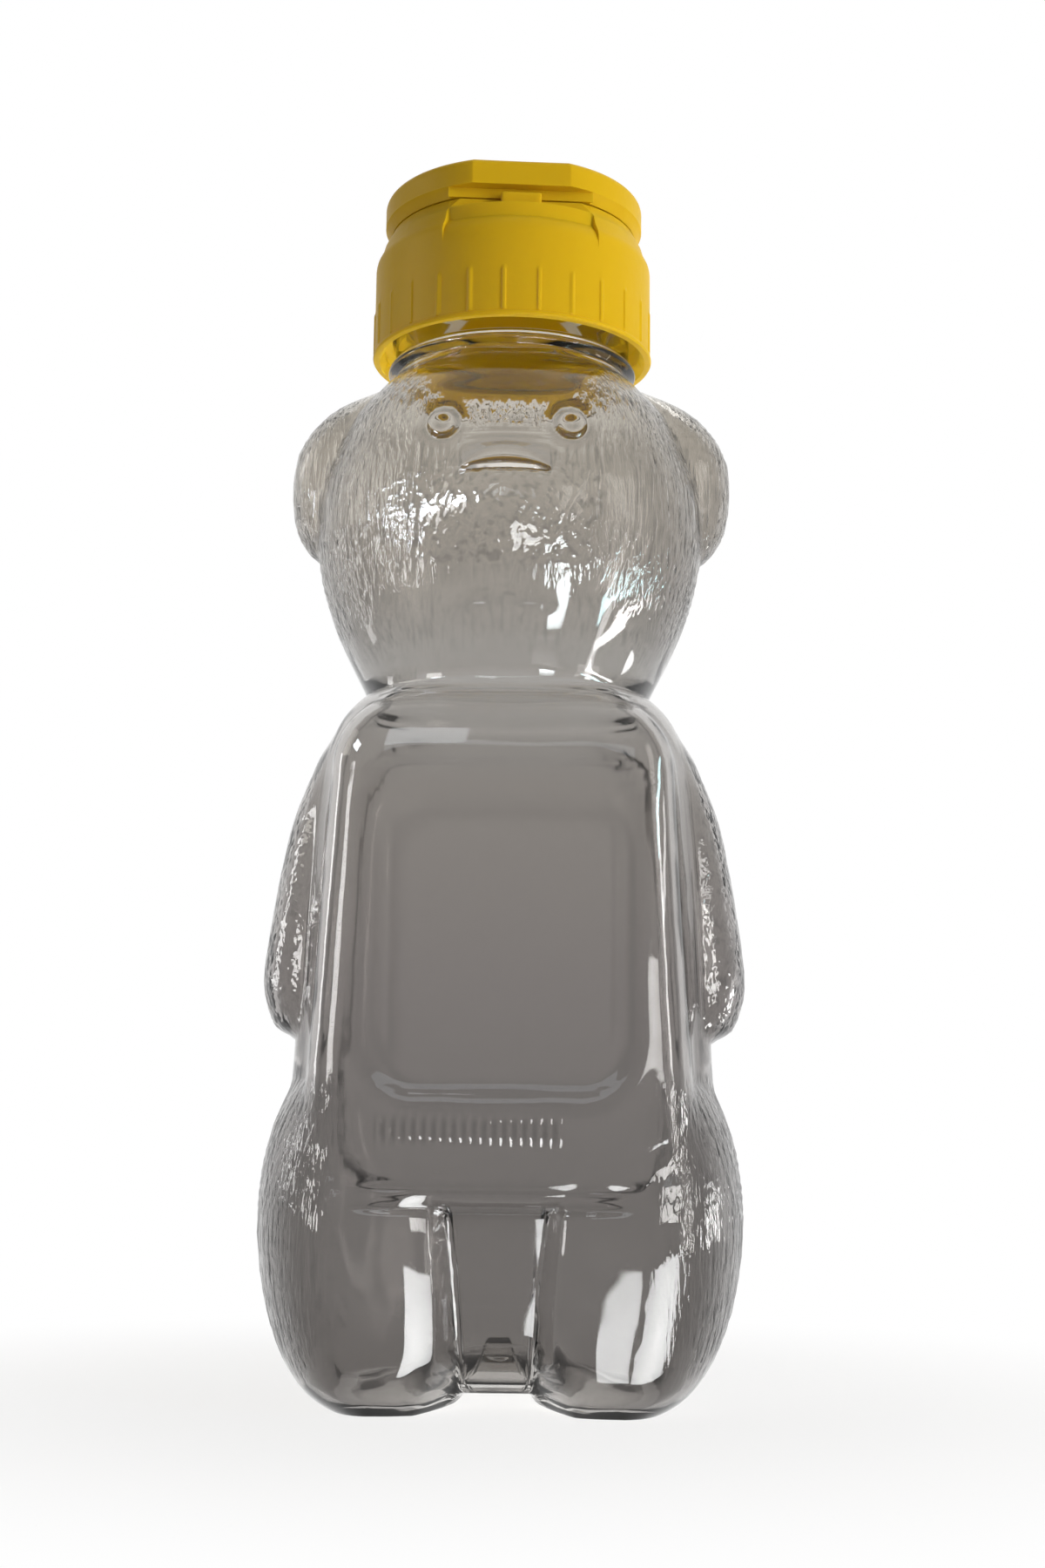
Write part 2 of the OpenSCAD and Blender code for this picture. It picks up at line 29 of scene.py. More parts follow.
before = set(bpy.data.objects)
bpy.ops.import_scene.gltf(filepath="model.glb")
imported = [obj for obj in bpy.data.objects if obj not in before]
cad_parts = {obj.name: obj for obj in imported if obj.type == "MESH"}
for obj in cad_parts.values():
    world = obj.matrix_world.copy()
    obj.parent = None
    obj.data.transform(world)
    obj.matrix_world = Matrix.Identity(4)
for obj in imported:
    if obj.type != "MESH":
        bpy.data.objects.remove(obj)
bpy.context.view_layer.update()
mm = 0.001


# Smooth curve through points [x, y] with a Hermite span between each two, level past its ends
def curve(points, x):
    px, py = np.array(points, float).T
    x = np.clip(x, px[0], px[-1])
    i = np.clip(np.searchsorted(px, x, side="right") - 1, 0, len(px) - 2)
    before = np.maximum(np.arange(len(px)) - 1, 0)
    after = np.minimum(np.arange(len(px)) + 1, len(px) - 1)
    slope = (py[after] - py[before]) / (px[after] - px[before])
    w = px[i + 1] - px[i]
    t = (x - px[i]) / w
    ends = (2 * t ** 3 - 3 * t ** 2 + 1) * py[i] + (3 * t ** 2 - 2 * t ** 3) * py[i + 1]
    return ends + ((t ** 3 - 2 * t ** 2 + t) * slope[i] + (t ** 3 - t ** 2) * slope[i + 1]) * w


# The value a share t of the way from a to b
def mix(a, b, t):
    return a + (b - a) * t


# Smoothstep held at 0 and 1
def eased(t):
    q = np.clip(t, 0, 1)
    return q * q * (3 - 2 * q)


# Larger of two radii with a fillet of about k where they meet
def filletMax(a, b, k):
    h = np.maximum(k - np.abs(a - b), 0) / k
    return np.maximum(a, b) + h * h * k / 4


# Inset at depth v under the start of an elliptic rounding of reach x and height y
def roundIn(v, x, y):
    return np.where(v <= 0, 0, x * (1 - np.sqrt(np.maximum(1 - (v / y) ** 2, 0))))


# Radius along direction [c, s] of a squared ellipse with half axes a and b
def boxy(a, b, n, c, s):
    return 1 / ((np.abs(c) / a) ** n + (np.abs(s) / b) ** n) ** (1 / n)


# Far side of an ellipse centred at [x, y] with half axes a and b, along [c, s]
def lobe(x, y, a, b, c, s):
    p = (c / a) ** 2 + (s / b) ** 2
    q = c * x / a ** 2 + s * y / b ** 2
    d = q ** 2 - p * ((x / a) ** 2 + (y / b) ** 2 - 1)
    return (q + np.sign(d) * np.sqrt(np.abs(d))) / p


# The bear's main sizes, in millimetres; each Square is the power of a squared ellipse
bear = {
    # torso up to the crease under the head, and the whole body's depth
    "torsoH": 97.5, "torsoW": 59.2, "torsoD": 46, "torsoSquare": 2.6, "baseRound": 9,
    "creaseW": 40.8, "creaseD": 40.6, "bodyD": 55.2,
    # slabs, and the label fields sunk in them
    "slabW": 52.6, "slabTopW": 47, "slabD": 52.6, "slabLow": 26.5, "slabRound": 12, "slabSquare": 8,
    "slabEdge": 3, "slabShoulder": 10, "slabTip": 6,
    "fieldW": 40, "fieldLow": 39.5, "fieldHigh": 87, "fieldSink": 0.9, "fieldRound": 9,
    "fieldEdge": 3.4,
    # legs with their squared fronts, rump and arms
    "legSpan": 66.8, "legH": 43, "legFoot": 13.5, "legTop": 7.5, "footGap": 10, "footLift": 2.2,
    "liftTurn": 26, "liftSoft": 10, "liftH": 10,
    "toeR": 12, "toeHub": 4.5, "toeDrop": 6, "toeStart": 2.8, "toeSoft": 1.8,
    "rumpW": 48, "rumpDeep": 17, "rumpTall": 21, "rumpDrop": 3,
    "armSpan": 68.4, "armT": 18, "armRound": 7, "armY": -1, "armLow": 48,
    # ears, head and snout
    "earSpan": 64.9, "earT": 12, "earRound": 7, "earY": 1.5, "earLow": 21,
    "headH": 48.5, "headW": 56.4, "headSquare": 2.15, "cheekAt": 0.47, "faceReach": 24.4,
    "napeReach": 25.6,
    "snoutReach": 27.2, "snoutW": 25, "snoutDeep": 13.5, "snoutTall": 10, "snoutZ": 24.5,
    # wall, base and neck finish
    "wall": 0.9, "pushUp": 5, "neckH": 14.5, "neckR": 17.4, "neckFoot": 0.25, "boreR": 15.9,
    "threadH": 1.2, "pitch": 4.233, "threadTurns": 1.25, "threadTop": 2.8,
    "beadR": 18.4, "beadH": 1.5, "rimZ": 149.5,
}
# Fillets where each form meets the ones before it
fillet = {"snout": 3, "ear": 1.5, "slab": 2, "rump": 4, "arm": 0.5, "limb": 1.5, "toe": 0.6}
headTop = bear["torsoH"] + bear["headH"]
landZ = headTop + bear["neckH"]
legMid = bear["slabLow"] - 1.5
shoulderZ = bear["torsoH"] - 12

# Shares of each form's size along its height, from 0 to 1; the legs' insets are in millimetres
torsoShare = [[0.45, 1], [0.77, 0.81], [0.9, 0.64], [0.95, 0.46], [0.98, 0.25], [1, 0]]
cheekShare = [[0, 0], [0.06, 0.04], [0.3, 0.39], [0.52, 0.66], [0.75, 0.86], [1, 1]]
crownShare = [[0, 1], [0.25, 0.97], [0.47, 0.83], [0.74, 0.55], [0.89, 0.25], [1, 0]]
earReach = [[0, 0.78], [0.05, 0.89], [0.13, 0.948], [0.22, 0.98], [0.42, 1], [0.58, 0.987],
            [0.68, 0.954], [0.78, 0.893], [0.88, 0.783], [1, 0.53]]
armReach = [[0, 0.74], [0.02, 0.85], [0.05, 0.935], [0.09, 0.968], [0.15, 0.994], [0.23, 1],
            [0.4, 0.971], [0.56, 0.936], [0.72, 0.889], [0.84, 0.827], [0.92, 0.778], [1, 0.68]]
legInner = [[0, 6.2], [0.06, 4.8], [0.15, 3.7], [0.45, 4], [0.7, 5.5], [1, 9]]
legFront = [[0, 4.4], [0.07, 1.6], [0.19, 0.4], [0.35, 0], [0.58, 0.6], [0.8, 3], [1, 7]]
legBack = [[0, 2], [0.12, 9], [0.35, 18], [0.6, 20], [1, 20]]


# Half axis of the head at height z, from crease to cheeks and from cheeks to neck
def headAxis(z, crease, full):
    f = (z - bear["torsoH"]) / bear["headH"]
    cheek = bear["cheekAt"]
    low = mix(crease, full, curve(cheekShare, f / cheek))
    high = mix(bear["neckR"] - bear["neckFoot"], full, curve(crownShare, (f - cheek) / (1 - cheek)))
    return np.where(f < cheek, low, high)


# Head: a squared ellipse in plan, whose depth differs from face to nape
def headR(z, c, s):
    deep = np.where(s < 0, bear["faceReach"], bear["napeReach"])
    wide = headAxis(z, bear["creaseW"] / 2, bear["headW"] / 2)
    return boxy(wide, headAxis(z, bear["creaseD"] / 2, deep), bear["headSquare"], c, s)


# Share of a ball's half axis at offset v from its middle, for a ball of half height tall
def ballShare(v, tall):
    return np.sqrt(np.maximum(1 - (v / tall) ** 2, 0.0001))


# Snout: a ball stretched to its width, depth and height, on the face only
def snoutR(z, c, s):
    k = ballShare(z - bear["torsoH"] - bear["snoutZ"], bear["snoutTall"])
    deep = bear["snoutDeep"]
    r = lobe(0, deep - bear["snoutReach"], bear["snoutW"] / 2 * k, deep * k, c, s)
    return np.where(s >= 0, 0, r)


# Ears: a small ellipse at each side, whose reach follows its height
def earR(z, c, s):
    u = (z - bear["torsoH"] - bear["earLow"]) / (bear["headH"] - bear["earLow"])
    x, turn = bear["earSpan"] / 2 * curve(earReach, u), bear["earRound"]
    r = lobe(x - turn, bear["earY"], turn, bear["earT"] / 2, np.abs(c), s)
    return np.where((u < 0) | (u > 1), 0, r)


# Torso: a squared ellipse that narrows to the crease by torsoShare and rounds in at its base
def torsoR(z, c, s):
    share = curve(torsoShare, z / bear["torsoH"])
    base = roundIn(legMid - z, bear["baseRound"], legMid + 0.5)
    wide = mix(bear["creaseW"] / 2, bear["torsoW"] / 2, share) - base
    deep = mix(bear["creaseD"] / 2, bear["torsoD"] / 2, share) - base
    return boxy(wide, deep, bear["torsoSquare"], c, s)


# Depth of the label field: a rounded rectangle eased over its edge
def fieldDepth(z, x):
    corner = bear["fieldRound"]
    qx = np.maximum(np.abs(x) - bear["fieldW"] / 2 + corner, 0)
    middle = (bear["fieldLow"] + bear["fieldHigh"]) / 2
    qz = np.maximum(np.abs(z - middle) - (bear["fieldHigh"] - bear["fieldLow"]) / 2 + corner, 0)
    return bear["fieldSink"] * eased((corner - np.hypot(qx, qz)) / bear["fieldEdge"])


# The front and back slabs: a squared form that narrows to its top, with rounded ends
def slabR(z, c, s):
    low, top = bear["slabLow"], bear["torsoH"] - 2
    corner, edge, tipH = bear["slabRound"], bear["slabEdge"], top - shoulderZ + 0.1
    up = (z - bear["fieldLow"]) / (bear["fieldHigh"] - bear["fieldLow"])
    half = mix(bear["slabW"], bear["slabTopW"], up) / 2
    half = half - roundIn(low + corner - z, corner, corner + 0.1)
    half = np.maximum(half - roundIn(z - shoulderZ, bear["slabShoulder"], tipH), 1)
    deep = bear["slabD"] / 2 - roundIn(low + edge - z, edge, edge + 0.1)
    deep = deep - roundIn(z - shoulderZ, bear["slabTip"], tipH)
    r = boxy(half, deep, bear["slabSquare"], c, s)
    sunk = np.where(frontOrBack(s), fieldDepth(z, r * c), 0)
    return np.where((z < low) | (z > top), 0, r - sunk / np.maximum(np.abs(s), 0.6))


# Where the skin faces front or back rather than to a side
def frontOrBack(s):
    return np.abs(s) > 0.6


# Rump: a stretched ball low on the back
def rumpR(z, c, s):
    k = ballShare(z - legMid + bear["rumpDrop"], bear["rumpTall"])
    deep = bear["rumpDeep"]
    r = lobe(0, bear["bodyD"] / 2 - deep, bear["rumpW"] / 2 * k, deep * k, c, s)
    return np.where(s <= 0, 0, r)


# Legs: an ellipse at each side, from its inner to its outer face, with a squared toe in front
def legR(z, c, s):
    u = z / bear["legH"]
    out = bear["legSpan"] / 2 - roundIn(legMid - z, bear["legFoot"], legMid + 0.5)
    out = out - roundIn(z - legMid, bear["legTop"], bear["legH"] - legMid + 1)
    inn = bear["footGap"] / 2 + curve(legInner, u)
    front = curve(legFront, u) - bear["bodyD"] / 2
    back, middle = curve(legBack, u), (out + inn) / 2
    r = lobe(middle, (front + back) / 2, (out - inn) / 2, (back - front) / 2, np.abs(c), s)
    # in front each leg is level to its inner side, where it rounds over and drops steeply
    turn, hub = bear["toeR"], inn + bear["toeHub"]
    level = np.where(s < 0, front / np.minimum(s, -0.01), 0)
    rounded = lobe(hub, front + turn, turn, turn, np.abs(c), s)
    toe = np.where(np.abs(c) * level > hub, level, rounded)
    into = (np.abs(c) * toe - inn + bear["toeStart"]) / bear["toeSoft"]
    toe = toe - bear["toeDrop"] * (1 - eased(into))
    toe = np.where((s < 0) & (np.abs(c) * level < middle), toe, 0)
    return np.where(u > 1, 0, filletMax(r, toe, fillet["toe"]))


# Arms: a narrow ellipse at each side, whose reach follows its height
def armR(z, c, s):
    u = (z - bear["armLow"]) / (bear["torsoH"] - 4 - bear["armLow"])
    x, turn = bear["armSpan"] / 2 * curve(armReach, u), bear["armRound"]
    r = lobe(x - turn, bear["armY"], turn, bear["armT"] / 2, np.abs(c), s)
    return np.where((u < 0) | (u > 1), 0, r)


# Radius of the bear at height z in direction a: the largest of its forms, filleted together
def bearR(z, a):
    c, s = np.cos(a), np.sin(a)
    head = filletMax(headR(z, c, s), snoutR(z, c, s), fillet["snout"])
    head = filletMax(head, earR(z, c, s), fillet["ear"])
    trunk = filletMax(torsoR(z, c, s), slabR(z, c, s), fillet["slab"])
    trunk = filletMax(trunk, rumpR(z, c, s), fillet["rump"])
    limbs = filletMax(legR(z, c, s), armR(z, c, s), fillet["arm"])
    return np.where(z > bear["torsoH"], head, filletMax(trunk, limbs, fillet["limb"]))


# What the mould adds to the plain form, in millimetres: face, fur strokes, pebbles, ticks and folds
detail = {
    "eyeX": 8.9, "eyeZ": 133.3, "eyeR": 2.3, "eyeH": 0.45, "pupilR": 0.9, "pupilDeep": 0.35,
    "socketR": 3.1, "socketDeep": 0.3,
    "noseLow": 125.4, "noseTop": 133.2, "noseW": 12.6, "noseRise": 1.4, "noseCrest": 3.1,
    "noseRidge": 0.08, "ridgeGap": 1.3,
    "mouthZ": 108.8, "mouthW": 13, "mouthDeep": 0.4, "mouthBend": 0.035,
    "furLow": 112, "furDrop": 6, "furHigh": 135.5, "furClimb": 8, "furLean": 0.12, "furDeep": 0.1,
    "furGap": 1.7, "fineDeep": 0.07, "fineGap": 0.95,
    "pebbleDeep": 0.06, "pebbleTurn": 2.6, "pawDeep": 0.25, "pawGap": 2.6, "pawSlant": 0.5,
    "thighDeep": 0.16, "thighGap": 1.9, "thighSlant": 0.6, "tickDeep": 0.2, "tickGap": 1.31,
    "foldDeep": 0.4, "foldLeft": -17, "foldRight": 16, "folds": [[26.4, 0.45, 1], [28.9, 0.4, 0.6]],
}
# Patches of the skin: from, to and softness across, as x or as distance to a side, then in height
patches = {
    "muzzle": (-12, 12, 5, 113, 126, 4), "cheek": (-17, 14, 6, 113, 127, 5),
    "arm": (27.5, 99, 2, 49, 90, 4), "paw": (28.5, 99, 2, 49.5, 64, 2),
    "thigh": (21.5, 99, 5, 6, 43, 6), "tick": (-16, 8.5, 0.6, 34.9, 37.9, 1.6),
}


# The nose: a crest arched across the face, with a full underside and a long ridged slope to its top
def noseRise(x, z):
    d = detail
    across = np.clip(1 - (2 * x / d["noseW"]) ** 2, 0, 1)
    crest = d["noseLow"] + 0.3 + d["noseCrest"] * across
    under = np.clip((z - d["noseLow"]) / (crest - d["noseLow"]), 0, 1)
    over = np.clip((d["noseTop"] - z) / (d["noseTop"] - crest), 0, 1)
    ridges = d["noseRidge"] * np.sin(z * 2 * math.pi / d["ridgeGap"])
    rise = np.where(z < crest, np.sqrt(under * (2 - under)), over ** 1.3)
    return (d["noseRise"] * rise + ridges * eased(over * 3) * eased(3 - 3 * over)) * across ** 0.4


# 1 inside a stretch from low to high, easing over soft at both ends
def stretch(v, low, high, soft):
    return eased((v - low) / soft + 0.5) * eased((high - v) / soft + 0.5)


# 1 inside one of the patches, easing out at its sides and ends
def patch(name, across, z):
    low, high, soft, bottom, top, softZ = patches[name]
    return stretch(across, low, high, soft) * stretch(z, bottom, top, softZ)


# Sum of a few waves whose directions and phases are fixed, an even wander between -1 and 1
def wander(u, v, seed):
    rng = np.random.default_rng(seed)
    total = 0
    for k in range(6):
        turn, phase, scale = rng.uniform(0, math.pi), rng.uniform(0, 6.28), 1.35 ** k
        total = total + np.sin((u * math.cos(turn) + v * math.sin(turn)) * scale + phase)
    return total / 3


# Fur: grooves across u whose line wanders along v and breaks off in places
def strokes(u, v, spacing, seed):
    line = u / spacing * 2 * math.pi + 1.5 * wander(u * 0.3, v * 0.13, seed)
    broken = 0.5 + 0.5 * np.sin(v * 0.5 + 3.5 * wander(u * 0.9, v * 0.1, seed + 7))
    return np.sin(line) * (0.3 + 0.7 * broken)


# Offset of the mould's detail over the plain skin, where the skin is furred and where pebbled, and
# the painted shade in the grooves between the ticks, which is -1 away from them
def mouldR(z, a, r):
    c, s = np.cos(a), np.sin(a)
    x, front = r * c, s < 0
    side = np.abs(x)
    along = ((a - 0.5 * math.pi) % (2 * math.pi) - math.pi) * r
    d = detail
    fromEye = np.hypot(side - d["eyeX"], z - d["eyeZ"])
    eye = d["eyeH"] * np.sqrt(np.clip(1 - (fromEye / d["eyeR"]) ** 6, 0, 1))
    eye = eye - d["pupilDeep"] * np.exp(-(fromEye / d["pupilR"]) ** 2)
    eye = eye - d["socketDeep"] * np.exp(-((fromEye - d["socketR"] * 0.8) / 0.5) ** 2)
    nose = noseRise(x, z)
    lip = z - d["mouthZ"] + d["mouthBend"] * x ** 2
    mouth = stretch(x, -d["mouthW"] / 2, d["mouthW"] / 2, 3) * np.exp(-(lip / 0.5) ** 2)
    face = np.where(front, eye + nose - d["mouthDeep"] * mouth, 0)
    # fur over the head in broad and fine strokes, leaving eyes and nose bare
    bare = eased((fromEye - d["socketR"]) / 1.2) * (1 - np.clip(nose * 4, 0, 1))
    bare = np.where(front, bare, 1)
    low = d["furLow"] - d["furDrop"] * eased((side - 12) / 12)
    high = d["furHigh"] + d["furClimb"] * eased((side - 7) / 8)
    head = eased((z - low) / 9 + 0.5) * eased((high - z) / 4 + 0.5) * bare
    lean = along + d["furLean"] * (z - 118) * np.sign(along) * stretch(side, 12, 40, 8)
    muzzle = front * patch("muzzle", x, z)
    hairs = d["furDeep"] * strokes(lean, z, d["furGap"], 3)
    hairs = hairs + d["fineDeep"] * strokes(lean, z, d["fineGap"], 11)
    fur = head * (1 - muzzle) * hairs
    # short strokes across the paws, and slanted ones on the thighs
    arm, paw, thigh = [patch(name, side, z) for name in ("arm", "paw", "thigh")]
    slant = z + d["pawSlant"] * along * np.sign(c)
    pawLines = eased(np.sin(slant * 2 * math.pi / d["pawGap"]) * 1.6 - 0.6)
    slant = along * np.sign(c) + d["thighSlant"] * z
    thighLines = strokes(slant, z * 0.7, d["thighGap"], 23)
    fur = fur - d["pawDeep"] * paw * pawLines + d["thighDeep"] * thigh * thighLines
    # a row of short upright ticks low on the front slab, and the folds under it
    tick = front * patch("tick", x, z)
    beat = eased(np.sin(x * 2 * math.pi / d["tickGap"]) + 0.5)
    # painted shade in the grooves between the ticks
    between = np.where(tick > 0.02, tick * (1 - beat), -1)
    folds = sum(share * np.exp(-((z - at) / wide) ** 2) for at, wide, share in d["folds"])
    folds = folds * stretch(x, d["foldLeft"], d["foldRight"], 6) * front
    relief = d["tickDeep"] * tick * beat - d["foldDeep"] * folds
    # pebbles on the muzzle, the cheek beside it and the arms
    cheek = front * patch("cheek", x, z) * bare
    pebbled = np.clip(np.clip(head * muzzle + arm, 0, 1) + cheek, 0, 1)
    pebbles = wander(along * d["pebbleTurn"], z * d["pebbleTurn"], 41)
    furred = np.clip(head * (1 - muzzle) + 0.6 * thigh, 0, 1)
    return face + fur + relief + d["pebbleDeep"] * pebbled * pebbles, furred, pebbled, between


# How steeply the mould's detail and the label field's edge stand in the skin, from 0 to 1
def steepness(z, r, a, offset):
    depth = offset - np.where(frontOrBack(np.sin(a)), fieldDepth(z, r * np.cos(a)), 0)
    across = np.roll(depth, -1, axis=1) - np.roll(depth, 1, axis=1)
    width = r * ((np.roll(a, -1) - np.roll(a, 1)) % (2 * math.pi))
    up = np.gradient(depth, axis=0) / np.maximum(np.gradient(z, axis=0), 0.05)
    return np.clip(np.hypot(across / np.maximum(width, 0.2), up) / 0.8, 0, 1)


# Angles round the axis: across the front slab a quarter of a tick's spacing apart, then even turns
bottleGrid = {
    "front": 100, "rest": 220, "tipR": 5, "pushRings": 10, "pushFrom": 0.32, "pushTo": 0.84,
    "pushEnd": 0.87, "pushSoft": 0.62, "footShare": 0.88, "insideShare": 0.96, "neckRings": 39,
}
frontX = (np.arange(bottleGrid["front"]) - bottleGrid["front"] / 2 + 0.5) * detail["tickGap"] / 4
frontTurn = np.arctan(frontX / (bear["slabD"] / 2))
restTurn = np.linspace(frontTurn[-1], frontTurn[0] + 2 * math.pi, bottleGrid["rest"] + 2)[1:-1]
angle = 1.5 * math.pi + np.concatenate([frontTurn, restTurn])


# Even heights from low up to high, without high itself
def steps(low, high, count):
    return np.linspace(low, high, count, endpoint=False)


# Heights of the rings, closer together where the mould's detail is finer
outerZ = np.concatenate([
    legMid * (1 - np.cos(np.radians(np.arange(0, 90, 6)))), steps(legMid, 30, 14),
    steps(30, 40, 14), steps(40, 47.5, 7), steps(47.5, 53, 9), steps(53, 84, 16), steps(84, 96, 14),
    steps(96, 100, 10), steps(100, 110, 12), steps(110, 124, 27), steps(124, 135, 30),
    steps(135, 142, 12), steps(142, 146, 5), [headTop]])
innerZ = np.concatenate([
    legMid * (1 - np.cos(np.radians(np.arange(10, 90, 12)))), steps(legMid, 40, 6), steps(40, 53, 5),
    steps(53, 84, 6), steps(84, 98, 8), steps(98, 118.2, 8), steps(118.2, 142, 10),
    steps(142, 145.6, 3)])


# Inner radius: the outer one less the wall, measured across the slope of the surface
def insideR(z, a):
    r, turned = bearR(z, a), 0.035
    low, high = np.maximum(z - 1, 0.5), np.minimum(z + 1, headTop)
    rise = (bearR(high, a) - bearR(low, a)) / (high - low)
    turn = (bearR(z, a + turned) - bearR(z, a - turned)) / (2 * turned * r)
    return r - bear["wall"] * np.minimum(np.sqrt(1 + rise ** 2 + turn ** 2), 2)


# The edge between the feet stands clear of the floor, for liftTurn degrees to each side
def footLift(z, a):
    off = np.abs(np.degrees(a) - 270)
    off = np.minimum(off, 360 - off)
    between = eased((bear["liftTurn"] - off) / bear["liftSoft"])
    return bear["footLift"] * between * eased(1 - z / bear["liftH"])


# Height over the neck wall of a thread wound up from lowZ: a trapezoid across, eased at its ends
def threadRise(z, a, lowZ, tall):
    turn = (a / (2 * math.pi)) % 1
    rise = np.zeros(np.broadcast(z, a).shape)
    for k in range(3):
        along = turn + k
        ease = eased(np.minimum(along, bear["threadTurns"] - along) * 9)
        across = np.abs(z - lowZ - bear["pitch"] * along)
        rise = np.maximum(rise, tall * ease * np.clip((1 - across) / 0.55, 0, 1))
    return rise


# One mesh from a grid of rings; closed rings join last to first, and caps fill the two ends
def gridMesh(name, rings, tips=(None, None), loop=False, closed=True):
    rows, cols = rings.shape[:2]
    points = rings.reshape(-1, 3) * mm
    ids = np.arange(rows * cols).reshape(rows, cols)
    right = np.roll(ids, -1, axis=1) if closed else ids[:, 1:]
    left = ids if closed else ids[:, :-1]
    low, high = slice(0, rows - 1), slice(1, rows)
    quads = [np.stack([left[low], right[low], right[high], left[high]], -1).reshape(-1, 4)]
    if loop:
        quads.append(np.stack([left[-1], right[-1], right[0], left[0]], -1))
    faces = np.concatenate(quads).tolist()
    extra = []
    for end, tip in zip((0, rows - 1), tips):
        if tip is None:
            continue
        k = rows * cols + len(extra)
        extra.append(np.array(tip) * mm)
        ring, after = ids[end], np.roll(ids[end], -1)
        pair = (after, ring) if end == 0 else (ring, after)
        faces += np.stack([pair[0], pair[1], np.full(cols, k)], -1).tolist()
    if extra:
        points = np.concatenate([points, np.array(extra)])
    mesh = bpy.data.meshes.new(name)
    mesh.from_pydata(points.tolist(), [], faces)
    mesh.polygons.foreach_set("use_smooth", np.ones(len(mesh.polygons), bool))
    mesh.update()
    piece = bpy.data.objects.new(name, mesh)
    bpy.context.scene.collection.objects.link(piece)
    return piece


# Points at radius r and height z in direction a, all taken together
def ringOf(r, z, a):
    r, z, a = np.broadcast_arrays(r, z, a)
    return np.stack([r * np.cos(a), r * np.sin(a), z], -1)


# The bottle: push-up, base, body, neck and bore as one closed skin, up outside and down inside
def buildBottle():
    a = angle[None, :]
    z = outerZ[:, None]
    grid, wall, push = bottleGrid, bear["wall"], bear["pushUp"]
    plain = bearR(z, a)
    offset, furred, pebbled, between = mouldR(z, a, plain)
    outer = ringOf(plain + offset, z + footLift(z, a), a)
    ground = np.zeros((1, 1))
    foot, lift = bearR(ground, a), footLift(ground, a)
    floorUp = wall * 1.3
    shares = np.linspace(grid["pushFrom"], grid["pushTo"], grid["pushRings"])
    rises = push * eased((grid["pushEnd"] - shares) / grid["pushSoft"])
    base = [ringOf(grid["tipR"], push, a)]
    base += [ringOf(foot * share, up + lift, a) for share, up in zip(shares, rises)]
    base.append(ringOf(foot * grid["footShare"], lift, a))
    # the neck with its bead and thread, the land on its top and the bore down through it
    neckZ = np.linspace(headTop, landZ - 0.4, grid["neckRings"] + 1)[1:, None]
    fromBead = (neckZ - bear["rimZ"] + 2) / (bear["beadH"] / 2)
    bead = (bear["beadR"] - bear["neckR"]) * np.sqrt(np.clip(1 - fromBead ** 2, 0, 1))
    lowZ = landZ - bear["threadTop"] - bear["pitch"] * bear["threadTurns"]
    start = bear["neckR"] - bear["neckFoot"] * eased(headTop + 1 - neckZ)
    neck = ringOf(start + bead + threadRise(neckZ, a, lowZ, bear["threadH"]), neckZ, a)
    land = [ringOf(bear["neckR"] - 0.12, landZ - 0.12, a), ringOf(bear["neckR"] - 0.4, landZ, a),
            ringOf(bear["boreR"] + 0.3, landZ, a), ringOf(bear["boreR"], landZ - 0.3, a)]
    bore = [ringOf(bear["boreR"], h, a) for h in (landZ - 5, landZ - 10, headTop + 0.3)]
    back = innerZ[::-1][:, None]
    inner = ringOf(insideR(back, a), np.maximum(back, floorUp) + footLift(back, a), a)
    inside = [ringOf(foot * share * grid["insideShare"], up + floorUp + lift, a)
              for share, up in zip(shares[::-1], rises[::-1])]
    inside.append(ringOf(grid["tipR"], push + floorUp, a))
    rings = np.concatenate(base + [outer, neck] + land + bore + [inner] + inside)
    piece = gridMesh("bottle_skin", rings, ([0, 0, push], [0, 0, push + floorUp]))
    # shares for the material: furred, pebbled, steep for painted shade, and painted light that makes
    # the plastic paler
    # painted shade: this share darkens the tint where relief stands steeply, and in the grooves
    # between the ticks
    steep = np.where(between >= 0, between, steepness(z, plain, a, offset))
    middle = stretch(plain * np.cos(a), -10, 10, 5)
    # painted light: paler at the crease under the head and low between the feet, where refraction
    # shows dark
    thin = 0.5 * np.exp(-((z - bear["torsoH"]) / 1.2) ** 2) + 0.4 * middle * eased(1 - z / 9)
    first, around = len(base) * len(angle), len(angle)
    tops = (len(neck) + len(land) + len(bore)) * around
    for name, share in (("furred", furred), ("pebbled", pebbled), ("steep", steep), ("thin", thin)):
        values = np.zeros(len(piece.data.vertices))
        # painted light on the push-up and the neck
        if name == "thin":  # the push-up, outside and inside, and the neck
            values[:first] = values[-len(inside) * around - 2:] = 1
            values[first + share.size:][:tops] = 0.95
        values[first:first + share.size] = share.ravel()
        piece.data.attributes.new(name, "FLOAT", "POINT").data.foreach_set("value", values)
    return piece


